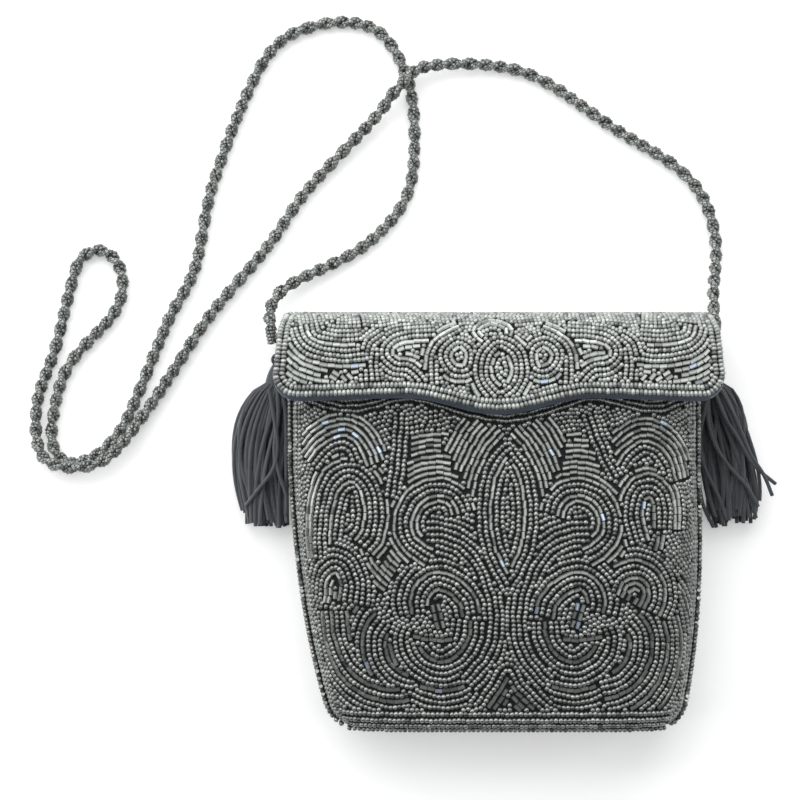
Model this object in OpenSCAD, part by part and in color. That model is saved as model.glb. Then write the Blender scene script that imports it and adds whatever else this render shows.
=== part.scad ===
// Beaded evening bag: a stiffened bucket body with a folding flap, a long rope strap and two tassels.
// It lies on its back: +X runs across the bag, +Y from its base to the fold of its flap, and +Z out of
// its front. The origin is on the resting face of the back. All sizes are in millimetres.

/* [Body] */
// Height from the base to the crest of the flap's fold
overall_h = 149.2; // [140:0.2:165]
// Width across the widest part of the body
body_w = 145; // [138:0.5:148]
// How much the sides draw in towards the base, on each side
side_taper = 11; // [6:0.1:14]
// How far the soft body leans sideways over its whole height
body_lean = 7.2; // [0:0.2:9]
// Depth at the mouth, from back to front
mouth_d = 39.5; // [36:0.5:44]
// Depth at the base
base_d = 38; // [35:0.5:42]
// How far the belly swells beyond the straight front
belly_swell = 6; // [2:0.5:8]
// Height of the side seams above the back's resting face
seam_z = 26; // [23:0.5:29]
// Thickness of the beaded walls, beads included
wall_t = 3.4; // [2.8:0.1:4]
// Radius of the two lower corners, seen from the front
corner_r = 9; // [6:0.5:12]
// Radius of the roll where the front turns under to the base
front_roll_r = 5; // [4.2:0.1:7]
// Outer radius of the roll along the top of the back
spine_r = 10.5; // [9.5:0.5:12]
// How far the mouth lies below the crest of the fold
mouth_drop = 10.6; // [9.5:0.1:13]
// Thickness of the satin lining
lining_t = 0.8; // [0.5:0.1:1]
// Height of the piping round the mouth
binding_h = 1.6; // [1:0.1:2]

/* [Flap] */
// Width of the flap at its fold
fold_w = 154.6; // [152:0.2:154.6]
// Width of the flap near its free edge
flap_w = 159; // [156:0.5:164]
// Thickness of the beaded flap, beads included
flap_t = 3.2; // [2.6:0.1:3.8]
// Space between the front and the lining of the closed flap
flap_gap = 2.6; // [2.4:0.1:3.4]
// Outer radius of the fold
fold_r = 13.5; // [12:0.5:15]
// How far the top swells beyond the hinge line
top_swell = 1.4; // [0.8:0.1:2]
// Length of the flap from the crest to the side lobes of its edge
flap_drop = 29.3; // [26:0.1:34]
// How much further the middle of the edge dips
scallop_dip = 5.8; // [3:0.1:8]
// Half the width of that dip
scallop_half_w = 33; // [26:1:38]
// How much the outer lobes sag
lobe_sag = 1; // [0:0.1:2]
// Radius of the flap's lower corners
flap_corner_r = 6; // [4:0.5:8]
// How far the satin shows below the beaded edge
satin_margin = 1.8; // [1:0.1:2.4]

/* [Beadwork] */
// How far the main rows of beads stand proud
row_rise = 0.8; // [0.4:0.1:1]
// Width of a main row
row_w = 2.2; // [1.8:0.1:2.8]

/* [Snap] */
// Radius of both snap discs
snap_r = 6.5; // [6:0.1:8]
// Thickness of the socket disc
socket_t = 1.6; // [1.4:0.1:1.8]
// Radius of the recess in the socket
recess_r = 4.7; // [4.5:0.1:5]
// Depth of the recess
recess_depth = 1.2; // [1:0.1:1.3]
// Thickness of the stud disc
stud_t = 0.7; // [0.5:0.1:0.8]
// Radius of the nub on the stud
nub_r = 3; // [2.4:0.1:3]
// Height of the nub
nub_h = 0.9; // [0.6:0.1:0.9]
// Distance from the mouth down to the centre of the snap
snap_drop = 13; // [9:0.5:15]
// Thickness of the washers behind the discs
washer_t = 0.2; // [0.1:0.05:0.25]

/* [Strap] */
// Thickness of the beaded rope
rope_d = 4.6; // [4:0.1:4.6]
// Distance from the side of the body to each end of the strap
strap_reach = 8.4; // [8.4:0.1:9.5]
// Height of the bound ends above the resting face
strap_end_z = 14; // [14:0.1:14.6]
// Radius of the bound ends
strap_end_r = 2.5; // [2.3:0.1:2.5]
// Length of the bound ends
strap_end_l = 5.5; // [4:0.5:5.5]

/* [Tassels] */
// Distance from the side of the body to each tassel's loop
tassel_reach = 6.4; // [6.4:0.1:8]
// Height of the tassels' centre above the resting face
tassel_z = 6.3; // [6.3:0.1:6.8]
// Radius of the bar that carries the loop
bar_r = 1.1; // [0.9:0.05:1.2]
// Thickness of the loop's cord
loop_d = 1.4; // [1.2:0.05:1.4]
// Distance between the bar and the far bend of the loop
loop_l = 5; // [4.6:0.1:6]
// Length of the tassel's head
head_l = 8; // [6.5:0.5:9]
// Radius of the head
head_r = 4.7; // [4:0.1:4.7]
// Length of the bound neck
neck_l = 3; // [2:0.5:4]
// Radius of the bound neck
neck_r = 3.9; // [3.5:0.1:4.1]
// Length of the skirt of strands
skirt_l = 49.5; // [44:0.5:54]
// Half the width of the skirt at its tips
skirt_half_w = 10.2; // [8:0.1:10.4]
// Half the thickness of the skirt at its tips
skirt_half_t = 6; // [5:0.1:6]
// Outward tilt of the left tassel as it lies
left_tilt = 4; // [4:0.5:10]
// Outward tilt of the right tassel as it lies
right_tilt = 9.5; // [8:0.5:14]

/* [Hidden] */

// Colours
bead_grey = "#5d6165";
satin_blue = "#3a4652";
thread_black = "#26282a";
tassel_grey = "#3c4043";
snap_metal = "#8d8f90";

// Clearances between pieces that are sewn or set against each other
seat_gap = 0.1;
sewn_gap = 0.3;
lining_gap = 0.4;

// Places along the height
crest_y = overall_h/2;
base_y = -overall_h/2;
wall_y = base_y + wall_t;
mouth_y = crest_y - mouth_drop;
hinge_y = crest_y - top_swell;
snap_y = mouth_y - snap_drop;
// The front runs level from here to the mouth, under the flap
level_y = mouth_y - 31;

// The body's curves
half_body_w = body_w/2;
taper_power = 2.6;
taper_from_y = 30;
lean_until_y = 20;
crown_power = 5;
edge_power = 2.2;
back_power = 8;
swell_power = 1.3;

// Steps round and along the lofted pieces
crown_steps = 16;
height_steps = 13;
gusset_steps = 5;
height_crowding = 1.5;

// Half of the body's outline at a height, with its rounded lower corners
function taper(y) = side_taper*pow(max(0, taper_from_y - y)/(taper_from_y - base_y), taper_power);
function corner_cut(y) =
  let (up = min(corner_r, y - base_y)) corner_r - sqrt(corner_r*corner_r - pow(corner_r - up, 2));
function half_w(y) = half_body_w - taper(y) - corner_cut(y);
// Sideways shift of the leaning body
function lean_x(y) = -body_lean*min(y, lean_until_y)/overall_h;
// Depth of the front at the middle of its width
function rise(y) = min(1, max(0, (y - base_y)/(level_y - base_y)));
function roll_cut(y) =
  let (up = min(front_roll_r, y - base_y))
  front_roll_r - sqrt(front_roll_r*front_roll_r - pow(front_roll_r - up, 2));
function depth(y) =
  base_d + (mouth_d - base_d)*rise(y) + belly_swell*pow(sin(180*rise(y)), swell_power) - roll_cut(y);

// A point of the crowned front, a running from -90 at the left seam to 90 at the right one
function crown_point(a, y, inset) =
  let (w = half_w(y) - inset, rise_z = depth(y) - inset - seam_z)
  [lean_x(y) + w*sign(a)*pow(abs(sin(a)), 2/crown_power), y, seam_z + rise_z*pow(cos(a), 2/edge_power)];
// Half the width of the rounded back part of the body at a height z below the seams
function back_half_w(y, z, inset, floor_z) =
  (half_w(y) - inset)*pow(max(0, 1 - pow((seam_z - z)/(seam_z - floor_z), back_power)), 1/back_power);

// Heights of the lofted sections, closer together near the base
function loft_y(low, i) = low + (mouth_y - low)*pow(i/height_steps, height_crowding);

// The flap's profile across the fold, from the hinge over the crest to the free edge
flap_lining_z = mouth_d + flap_gap;
flap_panel_z = flap_lining_z + lining_t;
flap_top_z = flap_panel_z + flap_t;
crest_z = flap_top_z - fold_r;
hinge_z = spine_r + seat_gap;
top_start_z = hinge_z + seat_gap;
fold_y = crest_y - fold_r;
top_r = (pow(crest_z - top_start_z, 2) + top_swell*top_swell)/(2*top_swell);
top_angle = asin((crest_z - top_start_z)/top_r);
split_angle = 45;
split_gap_angle = 0.65;
fold_steps = 6;
top_steps = 4;
function top_point(a, inset) = [crest_y - top_r + (top_r - inset)*cos(a), crest_z + (top_r - inset)*sin(a)];
function fold_point(a, inset) = [fold_y + (fold_r - inset)*cos(a), crest_z + (fold_r - inset)*sin(a)];

// The outline of the flap's edge
lobe_w = flap_w/2 - flap_corner_r - scallop_half_w;
edge_steps = 14;
function edge_y(x) =
  crest_y - flap_drop
  - (abs(x) < scallop_half_w ? scallop_dip*(1 + cos(180*x/scallop_half_w))/2 : 0)
  - (abs(x) > scallop_half_w ? lobe_sag*(1 - cos(180*min(1, (abs(x) - scallop_half_w)/lobe_w)))/2 : 0);

// Where the sides of the strap and the tassels are sewn on
tab_low_y = mouth_y - 5;
tab_high_y = mouth_y + 3.6;
tab_t = 1.6;
tab_low_z = 3.6;
tab_high_z = strap_end_z + 3;
bar_y = mouth_y + 1;
loop_bend_r = bar_r + sewn_gap + loop_d/2;
pivot_y = bar_y - loop_l - loop_bend_r;
eye_r = loop_d + sewn_gap + 0.1;
eye_d = loop_d - 0.1;
bar_end = 3.6;
knob_r = 2;
strap_end_y = mouth_y - 0.5;
rope_from_y = strap_end_y + strap_end_l;
head_start = eye_r + 0.4;
neck_start = head_start + head_l;
skirt_start = neck_start + neck_l;

// The strap's route as it lies, from the left end to the right one. Both ends start along +Y.
strap_route = [
  [-81.9, 69, 14], [-82.2, 77, 10.6], [-75.5, 85.5, 5.2], [-49.5, 99, 2.4], [-33.5, 116, 2.3],
  [-29.5, 137, 2.3], [-32, 161, 2.3], [-43.5, 179.5, 2.3], [-65, 181.5, 2.3], [-84.5, 169, 2.3],
  [-103, 125.5, 2.3], [-110.5, 92, 2.3], [-121, 71, 2.3], [-138, 32, 2.3], [-154.5, 19.8, 2.3],
  [-163.3, 28.5, 2.3], [-158, 54, 2.3], [-140.5, 75, 2.3], [-137.2, 86.5, 2.3], [-140, 94.8, 2.3],
  [-146.5, 98.4, 2.3], [-152.8, 94.8, 2.3], [-156.2, 85.5, 2.3], [-161.5, 64, 2.3], [-169, 40, 2.5],
  [-165, 21, 6.3], [-144.5, 20.5, 7.7], [-127, 41, 3.3], [-105.5, 73.5, 2.3], [-83.5, 100, 2.3],
  [-69.5, 120, 2.4], [-44, 147, 4.8], [-36, 157, 7.3], [-24, 166, 5.8], [11, 164, 2.3],
  [45.5, 142.5, 2.3], [66.5, 129.5, 2.3], [77, 117.5, 2.4], [81.5, 102, 2.8], [80, 82, 8.4],
  [79.9, 69, 14]
];
rope_sides = 8;
rope_substeps = 2;

// A closed surface through rings of points that run one way. The end rings close to their middle,
// or across from edge to edge where the ring doubles back on itself as a wall does.
module skin(rings, doubled = false) {
  n = len(rings[0]);
  last = len(rings) - 1;
  points = [for (ring = rings) each ring];
  middles = doubled ? [] : [for (ring = [rings[0], rings[last]]) [for (k = [0:2]) ring_mean(ring, k)]];
  first_mid = len(points);
  sides = [
    for (i = [0:last - 1], j = [0:n - 1])
      let (a = i*n + j, b = i*n + (j + 1) % n) each [[a, b, b + n], [a, b + n, a + n]]
  ];
  fans = doubled ? [] : [
    for (j = [0:n - 1])
      let (k = (j + 1) % n) each [[first_mid, k, j], [first_mid + 1, last*n + j, last*n + k]]
  ];
  strips = !doubled ? [] : [
    for (j = [0:n/2 - 2])
      let (k = n - 1 - j, l = last*n)
      each [[j, k, k - 1], [j, k - 1, j + 1], [l + j, l + j + 1, l + k - 1], [l + j, l + k - 1, l + k]]
  ];
  polyhedron(concat(points, middles), concat(sides, fans, strips));
}
function ring_mean(ring, k) = let (n = len(ring)) [for (p = ring) p[k]]*[for (p = ring) 1]/n;

// The outline of the body seen from the front, narrowed by a factor for the flat of the back
function side_outline(low, high, factor) =
  let (steps = 24, ys = [for (i = [0:steps]) low + (high - low)*pow(i/steps, height_crowding)])
  concat(
    [for (y = ys) [lean_x(y) - factor*half_w(y), y]],
    [for (i = [steps:-1:0]) [lean_x(ys[i]) + factor*half_w(ys[i]), ys[i]]]
  );

// A strip of the given Y-Z profile, as wide as the given span
module across(width, shift = 0) {
  translate([shift - width/2, 0, 0]) rotate([90, 0, 90]) linear_extrude(height = width) children();
}

// Quarter roll along the top of the back, between two radii
spine_steps = 8;
spine_y = hinge_y - spine_r;
function spine_arc(r, from, to) = [
  for (i = [0:spine_steps])
    let (a = from + (to - from)*i/spine_steps) [spine_y + r*sin(a), spine_r - r*cos(a)]
];
function reversed(list) = [for (i = [len(list) - 1:-1:0]) list[i]];

back_factor = pow(1 - pow((seam_z - wall_t)/seam_z, back_power), 1/back_power);

module back_panel() {
  color(bead_grey) intersection() {
    linear_extrude(height = 2*spine_r) polygon(side_outline(wall_y, hinge_y, back_factor));
    across(2*body_w) polygon(concat(
      [[wall_y, wall_t], [wall_y, 0]], spine_arc(spine_r, 0, 90), reversed(spine_arc(spine_r - wall_t, 0, 90))
    ));
  }
}

// A layer of the crowned front, between two depths below its outer surface
module front_layer(from, to) {
  angles = [for (i = [0:crown_steps]) -90 + 180*i/crown_steps];
  skin([
    for (i = [height_steps:-1:0])
      let (y = loft_y(wall_y, i))
      concat(
        [for (a = angles) crown_point(a, y, from)],
        [for (a = reversed(angles)) crown_point(a, y, to)]
      )
  ], doubled = true);
}

// The front with its main rows of beads standing proud of the ground
module front_panel() {
  color(bead_grey) union() {
    front_layer(row_rise, wall_t);
    intersection() {
      front_layer(0, row_rise + row_root);
      linear_extrude(height = 2*flap_top_z) front_rows();
    }
  }
}

// Main rows of the front's pattern, on the left of its middle; each is repeated on the right
row_root = 0.4;
front_middle = 3;
front_motifs = [
  [[3.2, 28], [-2, 23.5], [-7.5, 14], [-9, 3.5], [-6.5, -8.5], [-3, -14.5], [3.2, -19]],
  [[-26.5, -15.5], [-33, -8.5], [-34.5, 1], [-32, 8], [-25.5, 11.5], [-18, 11.2], [-12.5, 7.5], [-10.5, 1]],
  [[-19.5, -18], [-12, -20], [-7.8, -26], [-7, -38], [-11, -46.5], [-18.5, -49], [-26, -46], [-30.5, -40],
   [-31.5, -31], [-29, -24]],
  [[-41, -36], [-42, -44], [-39, -51.5], [-31.5, -56]],
  [[-49, -34], [-50, -46], [-46, -56.5], [-36, -62]],
  [[-63, 14], [-62.5, 24], [-57, 30], [-50.5, 30.5], [-44, 25.5]],
  [[-58, -2.5], [-59, 6], [-57, 13.5], [-51, 18.3], [-45, 17], [-41.2, 9.5], [-42.5, -3]],
  [[-60, -24], [-61.5, -13], [-59, -5], [-53.5, -1.5], [-48.5, -5], [-46, -15]],
  [[-36, 33], [-35.8, 16]],
  [[-21, 31], [-15, 25], [-12, 17]]
];
function mirrored(points, middle) = [for (p = points) [2*middle - p[0], p[1]]];

// A strip of even width along a line of points
module strip(points, width) {
  n = len(points);
  beside_point = function(i, reach)
    let (d = points[min(n - 1, i + 1)] - points[max(0, i - 1)]) points[i] + reach*[-d[1], d[0]]/norm(d);
  polygon(concat(
    [for (i = [0:n - 1]) beside_point(i, width/2)], [for (i = [n - 1:-1:0]) beside_point(i, -width/2)]
  ));
}

module front_rows() {
  for (motif = front_motifs) {
    strip(motif, row_w);
    strip(mirrored(motif, front_middle), row_w);
  }
  // Along the base, below the flap's edge, and a seat for the snap
  low = base_y + 6.3;
  strip([for (x = [-1, 1]) [lean_x(low) + x*(half_w(low) - 5), low]], row_w);
  strip([for (i = [-6:6]) let (x = 10*i) [x + lean_x(0), edge_y(x) - 2.6]], row_w);
  translate([snap_x, snap_y]) circle(r = snap_r + 0.8, $fn = 24);
}

// A side wall between the back and the front's seam, on the side given by -1 or 1
module gusset(side) {
  low_z = wall_t + 2*seat_gap;
  levels = [for (i = [0:gusset_steps]) low_z + (seam_z - seat_gap - low_z)*pow(i/gusset_steps, 1.3)];
  outer_to_inner = [
    for (i = [0:height_steps])
      let (y = loft_y(wall_y, i))
      concat(
        [for (z = levels) [lean_x(y) + side*back_half_w(y, z, 0, 0), y, z]],
        [for (z = reversed(levels)) [lean_x(y) + side*(back_half_w(y, z, 0, 0) - wall_t), y, z]]
      )
  ];
  color(bead_grey) skin(side < 0 ? outer_to_inner : [for (ring = outer_to_inner) reversed(ring)],
                        doubled = true);
}

module base_panel() {
  edge_r = 8;
  half = half_w(wall_y);
  color(bead_grey) intersection() {
    linear_extrude(height = base_d) polygon(side_outline(base_y, wall_y - seat_gap, 1));
    translate([lean_x(base_y), wall_y, 0]) rotate([90, 0, 0]) linear_extrude(height = wall_t)
      union() {
        translate([-half, edge_r]) square([2*half, base_d - roll_cut(wall_y) - 2*edge_r]);
        translate([edge_r - half, 0]) square([2*(half - edge_r), base_d - roll_cut(wall_y)]);
        for (x = [edge_r - half, half - edge_r], z = [edge_r, base_d - roll_cut(wall_y) - edge_r])
          translate([x, z]) circle(r = edge_r, $fn = 48);
      }
  }
}

// A ring of the lining's sack at a height, at a distance inside the outer surface
lining_steps = 32;
function sack_ring(y, inset) = [
  for (i = [0:lining_steps - 1])
    let (
      a = 360*i/lining_steps, w = half_w(y) - inset, up = sin(a) >= 0,
      n = up ? crown_power : back_power,
      across_share = sign(round(cos(a)*1e6))*pow(abs(cos(a)), 2/n),
      z_share = pow(abs(sin(a)), 2/(up ? edge_power : back_power))
    )
    [lean_x(y) + w*across_share, y, seam_z + (up ? depth(y) - inset - seam_z : inset - seam_z)*z_share]
];

module lining() {
  outer = wall_t + lining_gap;
  inner = outer + lining_t;
  low = wall_y + lining_gap;
  upper_ys = [for (i = [2:height_steps]) loft_y(wall_y, i)];
  outer_ys = concat([low], upper_ys);
  inner_ys = concat([low + lining_t], upper_ys);
  color(satin_blue) skin(concat(
    [for (y = outer_ys) sack_ring(y, outer)], [for (y = reversed(inner_ys)) sack_ring(y, inner)]
  ));
}

// The lining behind the roll, from the sack to the hinge
module spine_lining() {
  r = spine_r - wall_t - seat_gap;
  start = asin((binding_h/2 + mouth_y - spine_y)/(r - lining_t));
  across(2*back_factor*half_body_w - 2*wall_t - 2, lean_x(mouth_y)) color(satin_blue)
    polygon(concat(spine_arc(r, start, 90), reversed(spine_arc(r - lining_t, start, 90))));
}

// Piping over the edge of the mouth, round the front and both sides
module mouth_binding() {
  angles = [for (i = [0:crown_steps]) -90 + 180*i/crown_steps];
  overlap = wall_t + lining_gap + lining_t;
  leg_zs = [8, 14, 20];
  outside = 0.2;
  leg = function(side, inset) [
    for (z = leg_zs)
      let (a_z = side < 0 ? z : leg_zs[2] + leg_zs[0] - z)
      [lean_x(mouth_y) + side*(half_w(mouth_y) - inset), a_z]
  ];
  path = function(inset) concat(
    leg(-1, inset), [for (a = angles) let (p = crown_point(a, mouth_y, inset)) [p[0], p[2]]], leg(1, inset)
  );
  ring = concat(path(outside), reversed(path(overlap)));
  color(satin_blue) skin([
    for (y = [mouth_y + seat_gap, mouth_y + seat_gap + binding_h]) [for (p = ring) [p[0], y, p[1]]]
  ], doubled = true);
}

// The two snap discs face each other under the middle of the flap
snap_x = lean_x(snap_y);
module snap_socket() {
  rim = 0.3;
  color(snap_metal) translate([snap_x, snap_y, mouth_d + seat_gap/2]) rotate_extrude($fn = 64)
    polygon([
      [0, 0], [snap_r, 0], [snap_r, socket_t - rim], [snap_r - rim, socket_t], [recess_r, socket_t],
      [recess_r, socket_t - recess_depth], [0, socket_t - recess_depth]
    ]);
}

module washer(z) {
  color(snap_metal) translate([snap_x, snap_y, z]) difference() {
    cylinder(r = snap_r, h = washer_t, $fn = 64);
    translate([0, 0, -1]) cylinder(r = snap_r/3, h = 2 + washer_t, $fn = 48);
  }
}
// Behind the front, between it and its lining
module snap_socket_washer() { washer(mouth_d - wall_t - seat_gap/2 - washer_t); }

module snap_stud() {
  rim = 0.2;
  color(snap_metal) translate([snap_x, snap_y, flap_lining_z - seat_gap/2]) rotate([180, 0, 0])
    rotate_extrude($fn = 64) polygon([
      [0, 0], [snap_r, 0], [snap_r, stud_t - rim], [snap_r - rim, stud_t], [nub_r, stud_t],
      [nub_r - 2*rim, stud_t + nub_h], [0, stud_t + nub_h]
    ]);
}
// Inside the flap, in a shallow seat between its lining and its board
module snap_stud_washer() { washer(flap_panel_z + seat_gap/2); }

// A layer of the standing part of the flap, between two depths below its outer surface
module flap_top_layer(from, to) {
  last = split_angle - split_gap_angle;
  path = function(inset) concat(
    [for (i = [0:top_steps]) top_point(-top_angle*(1 - i/top_steps), inset)],
    [for (i = [1:fold_steps]) fold_point(last*i/fold_steps, inset)]
  );
  across(fold_w) polygon(concat(path(from), reversed(path(to))));
}

// A layer of the front part of the flap, cut to its outline
module flap_front_layer(from, to, margin) {
  first = split_angle + split_gap_angle;
  low_y = edge_y(0) - 2*satin_margin;
  path = function(inset) concat(
    [for (i = [0:fold_steps]) fold_point(first + (90 - first)*i/fold_steps, inset)],
    [[low_y, flap_top_z - inset]]
  );
  intersection() {
    across(2*flap_w) polygon(concat(path(from), reversed(path(to))));
    linear_extrude(height = 2*flap_top_z) flap_outline(margin);
  }
}

// The flap's outline from the front: straight sides that flare, round corners and a scalloped edge
module flap_outline(margin) {
  side_x = flap_w/2 + margin/3;
  corner_y = edge_y(side_x) + flap_corner_r - margin;
  edge_half = side_x - flap_corner_r;
  corner = function(side) [
    for (i = [0:5]) let (a = 18*i) [side*(edge_half + flap_corner_r*cos(a)), corner_y - flap_corner_r*sin(a)]
  ];
  edge = [for (i = [1:2*edge_steps - 1]) let (x = edge_half*(1 - i/edge_steps)) [x, edge_y(x) - margin]];
  polygon(concat([[-fold_w/2, crest_y], [fold_w/2, crest_y]], corner(1), edge, reversed(corner(-1))));
}

// Main rows of the flap's pattern, on the left of its middle, and the double row along its edge
flap_middle = 0.8;
flap_motifs = [
  [[1, 64.6], [-3.5, 61], [-6, 54.5], [-4.5, 49], [1, 45.4]],
  [[-12.5, 62.5], [-16.5, 60], [-16.5, 55.5], [-12.5, 54]],
  [[-23.5, 48.5], [-24, 55], [-22, 61.5], [-16, 65.5]],
  [[-33.5, 52], [-34, 58], [-31.5, 63], [-26, 65.8]],
  [[-44, 51.5], [-44.5, 58], [-41, 64.5], [-34.5, 66.5]],
  [[-71, 65], [-67.5, 59], [-60, 56.8], [-52, 57]],
  [[-67, 65.5], [-62, 62.5], [-53.5, 62.5]],
  [[-58, 52.5], [-54, 50.8]]
];
edge_band = 4.6;
module flap_rows() {
  over = 1;
  for (motif = flap_motifs) {
    strip(motif, row_w);
    strip(mirrored(motif, flap_middle), row_w);
  }
  side_x = flap_w/2;
  edge_half = side_x - 2;
  strip([for (i = [-12:12]) let (x = edge_half*i/12) [x, edge_y(x) + edge_band/2 - over/2]], edge_band + over);
  for (side = [-1, 1])
    strip([[side*(side_x - edge_band/2), edge_y(side_x) + 2], [side*(side_x - edge_band/2 - 1.2), crest_y]], edge_band + 2*over);
  strip([[-side_x, crest_y - 4.5], [side_x, crest_y - 4.5]], 6.4);
}

module flap_top_panel() { color(bead_grey) flap_top_layer(0, flap_t); }
module flap_top_lining() { color(satin_blue) flap_top_layer(flap_t, flap_t + lining_t); }
module flap_front_panel() {
  color(bead_grey) difference() {
    union() {
      flap_front_layer(row_rise, flap_t, 0);
      intersection() {
        flap_front_layer(0, row_rise + row_root, 0);
        linear_extrude(height = 2*flap_top_z) flap_rows();
      }
    }
    translate([snap_x, snap_y, flap_panel_z - 1]) cylinder(r = snap_r + seat_gap, h = 1 + washer_t + seat_gap, $fn = 64);
  }
}
module flap_front_lining() { color(satin_blue) flap_front_layer(flap_t, flap_t + lining_t, satin_margin); }

// A place at the mouth's height, at a distance from the side of the body
function beside(side, reach) = lean_x(mouth_y) + side*(half_body_w + reach);

// A folded tab on the gusset, with a tongue for the strap and a bar for the tassel's loop
module strap_tab(side) {
  face_x = beside(side, seat_gap);
  tongue_reach = strap_reach - strap_end_r - 2*seat_gap;
  bar_reach = tassel_reach - seat_gap + bar_end;
  color(thread_black) translate([face_x, 0, 0]) mirror([side < 0 ? 1 : 0, 0, 0]) {
    difference() {
      translate([0, tab_low_y, tab_low_z]) cube([tab_t, tab_high_y - tab_low_y, tab_high_z - tab_low_z]);
      translate([-1, tab_low_y + 1.5, strap_end_z]) rotate([0, 90, 0])
        cylinder(r = 0.5, h = tab_t + 2, $fn = 16);
    }
    translate([tab_t, strap_end_y, strap_end_z - 1.5])
      cube([tongue_reach - tab_t, tab_high_y - strap_end_y, 3]);
    translate([tab_t, bar_y, tassel_z]) rotate([0, 90, 0]) cylinder(r = bar_r, h = bar_reach - tab_t, $fn = 32);
    translate([bar_reach, bar_y, tassel_z]) rotate([0, 90, 0]) cylinder(r = knob_r, h = 1.2, $fn = 32);
  }
}

// The whipped end that gathers the strands of the rope
module strap_end(side) {
  whips = 4;
  pitch = strap_end_l/whips;
  groove = 0.25;
  color(thread_black) translate([beside(side, strap_reach), strap_end_y, strap_end_z]) rotate([-90, 0, 0])
    rotate_extrude($fn = 48) polygon(concat(
      [[0, 0]],
      [for (i = [0:whips - 1]) each [
        [strap_end_r - groove, i*pitch], [strap_end_r, (i + 0.3)*pitch], [strap_end_r, (i + 0.7)*pitch]
      ]],
      [[strap_end_r - groove, strap_end_l], [0, strap_end_l]]
    ));
}

// A smooth curve through the route's points, which leaves both ends square to the bound ends and
// never dips below the surface that the rope lies on
rope_lead = 8;
function route_point(i) =
  i < 0 ? strap_route[0] - [0, rope_lead, 0] :
  i >= len(strap_route) ? strap_route[len(strap_route) - 1] - [0, rope_lead, 0] : strap_route[i];
function curve_point(i, t) =
  let (
    a = route_point(i - 1), b = route_point(i), c = route_point(i + 1), d = route_point(i + 2),
    p = (2*b + (c - a)*t + (2*a - 5*b + 4*c - d)*t*t + (3*b - a - 3*c + d)*t*t*t)/2
  )
  [p[0], p[1], max(p[2], rope_d/2)];
rope_line = concat(
  [for (i = [0:len(strap_route) - 2], j = [0:rope_substeps - 1]) curve_point(i, j/rope_substeps)],
  [strap_route[len(strap_route) - 1]]
);

module strap_rope() {
  last = len(rope_line) - 1;
  direction = function(i)
    i == 0 ? [0, 1, 0] : i == last ? [0, -1, 0] :
    let (v = rope_line[i + 1] - rope_line[i - 1]) v/norm(v);
  color(bead_grey) skin([
    for (i = [0:last])
      let (
        along = direction(i), flat = cross(along, [0, 0, 1]), side = flat/norm(flat),
        up = cross(side, along), centre = rope_line[i]
      )
      [for (k = [0:rope_sides - 1])
        let (a = 360*(k + 0.5)/rope_sides) centre + rope_d/2*(cos(a)*side - sin(a)*up)]
  ]);
}

// A link of cord round the bar, in the upright plane
module tassel_loop(side) {
  low_y = bar_y - loop_l;
  color(tassel_grey) translate([beside(side, tassel_reach), 0, tassel_z]) rotate([0, 90, 0]) union() {
    for (z = [-1, 1]) translate([z*loop_bend_r, low_y, 0]) rotate([-90, 0, 0]) cylinder(d = loop_d, h = loop_l, $fn = 24);
    translate([0, bar_y, 0]) rotate_extrude(angle = 180, $fn = 48) translate([loop_bend_r, 0]) circle(d = loop_d, $fn = 24);
    translate([0, low_y, 0]) rotate([0, 0, 180]) rotate_extrude(angle = 180, $fn = 48) translate([loop_bend_r, 0]) circle(d = loop_d, $fn = 24);
  }
}

// Lays a piece along a tassel's axis, which starts at the far bend of its loop. Local +Z runs down it.
function tilt(side) = side < 0 ? left_tilt : right_tilt;
module along_tassel(side) {
  translate([beside(side, tassel_reach), pivot_y, tassel_z]) rotate([0, 0, side*tilt(side)]) rotate([90, 0, 0]) children();
}

module tassel_head(side) {
  color(tassel_grey) along_tassel(side) {
    rotate([90, 0, 0]) rotate_extrude($fn = 48) translate([eye_r, 0]) circle(d = eye_d, $fn = 24);
    translate([0, 0, head_start]) rotate_extrude($fn = 48) polygon(concat(
      [[0, 0]],
      [for (i = [0:12]) let (a = 150*i/12 + 15)
        [head_r*pow(sin(a), 0.8), head_l*(cos(15) - cos(a))/(cos(15) - cos(165))]],
      [[0, head_l]]
    ));
  }
}

module tassel_neck(side) {
  turns = 3;
  pitch = neck_l/turns;
  groove = 0.3;
  color(thread_black) along_tassel(side) translate([0, 0, neck_start + seat_gap]) rotate_extrude($fn = 48)
    polygon(concat(
      [[0, 0]],
      [for (i = [0:turns - 1]) each [
        [neck_r - groove, i*pitch], [neck_r, (i + 0.3)*pitch], [neck_r, (i + 0.7)*pitch]
      ]],
      [[neck_r - groove, neck_l], [0, neck_l]]
    ));
}

// The skirt of strands: it swells from the neck, bows outwards and ends in a ragged fringe
skirt_steps = 7;
skirt_sides = 40;
skirt_bow = 4.5;
function flare(t) = pow(sin(90*min(1, t*1.5)), 0.7);
module tassel_skirt(side) {
  start_r = neck_r - 0.3;
  color(tassel_grey) along_tassel(side) translate([0, 0, skirt_start + 2*seat_gap]) skin([
    for (i = [0:skirt_steps])
      let (
        t = i/skirt_steps,
        w = start_r + (skirt_half_w - start_r)*flare(t), h = start_r + (skirt_half_t - start_r)*flare(t),
        shift = side*skirt_bow*sin(180*t)*(side < 0 ? 1 : 0.4)
      )
      [for (k = [0:skirt_sides - 1])
        let (a = -360*k/skirt_sides, strand = 1 - 0.07*t*(1 + cos(10*a)))
        [shift + w*strand*cos(a), h*strand*sin(a), skirt_l*t*(1 - 0.02*(1 + cos(5*a)))]]
  ]);
}

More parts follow.
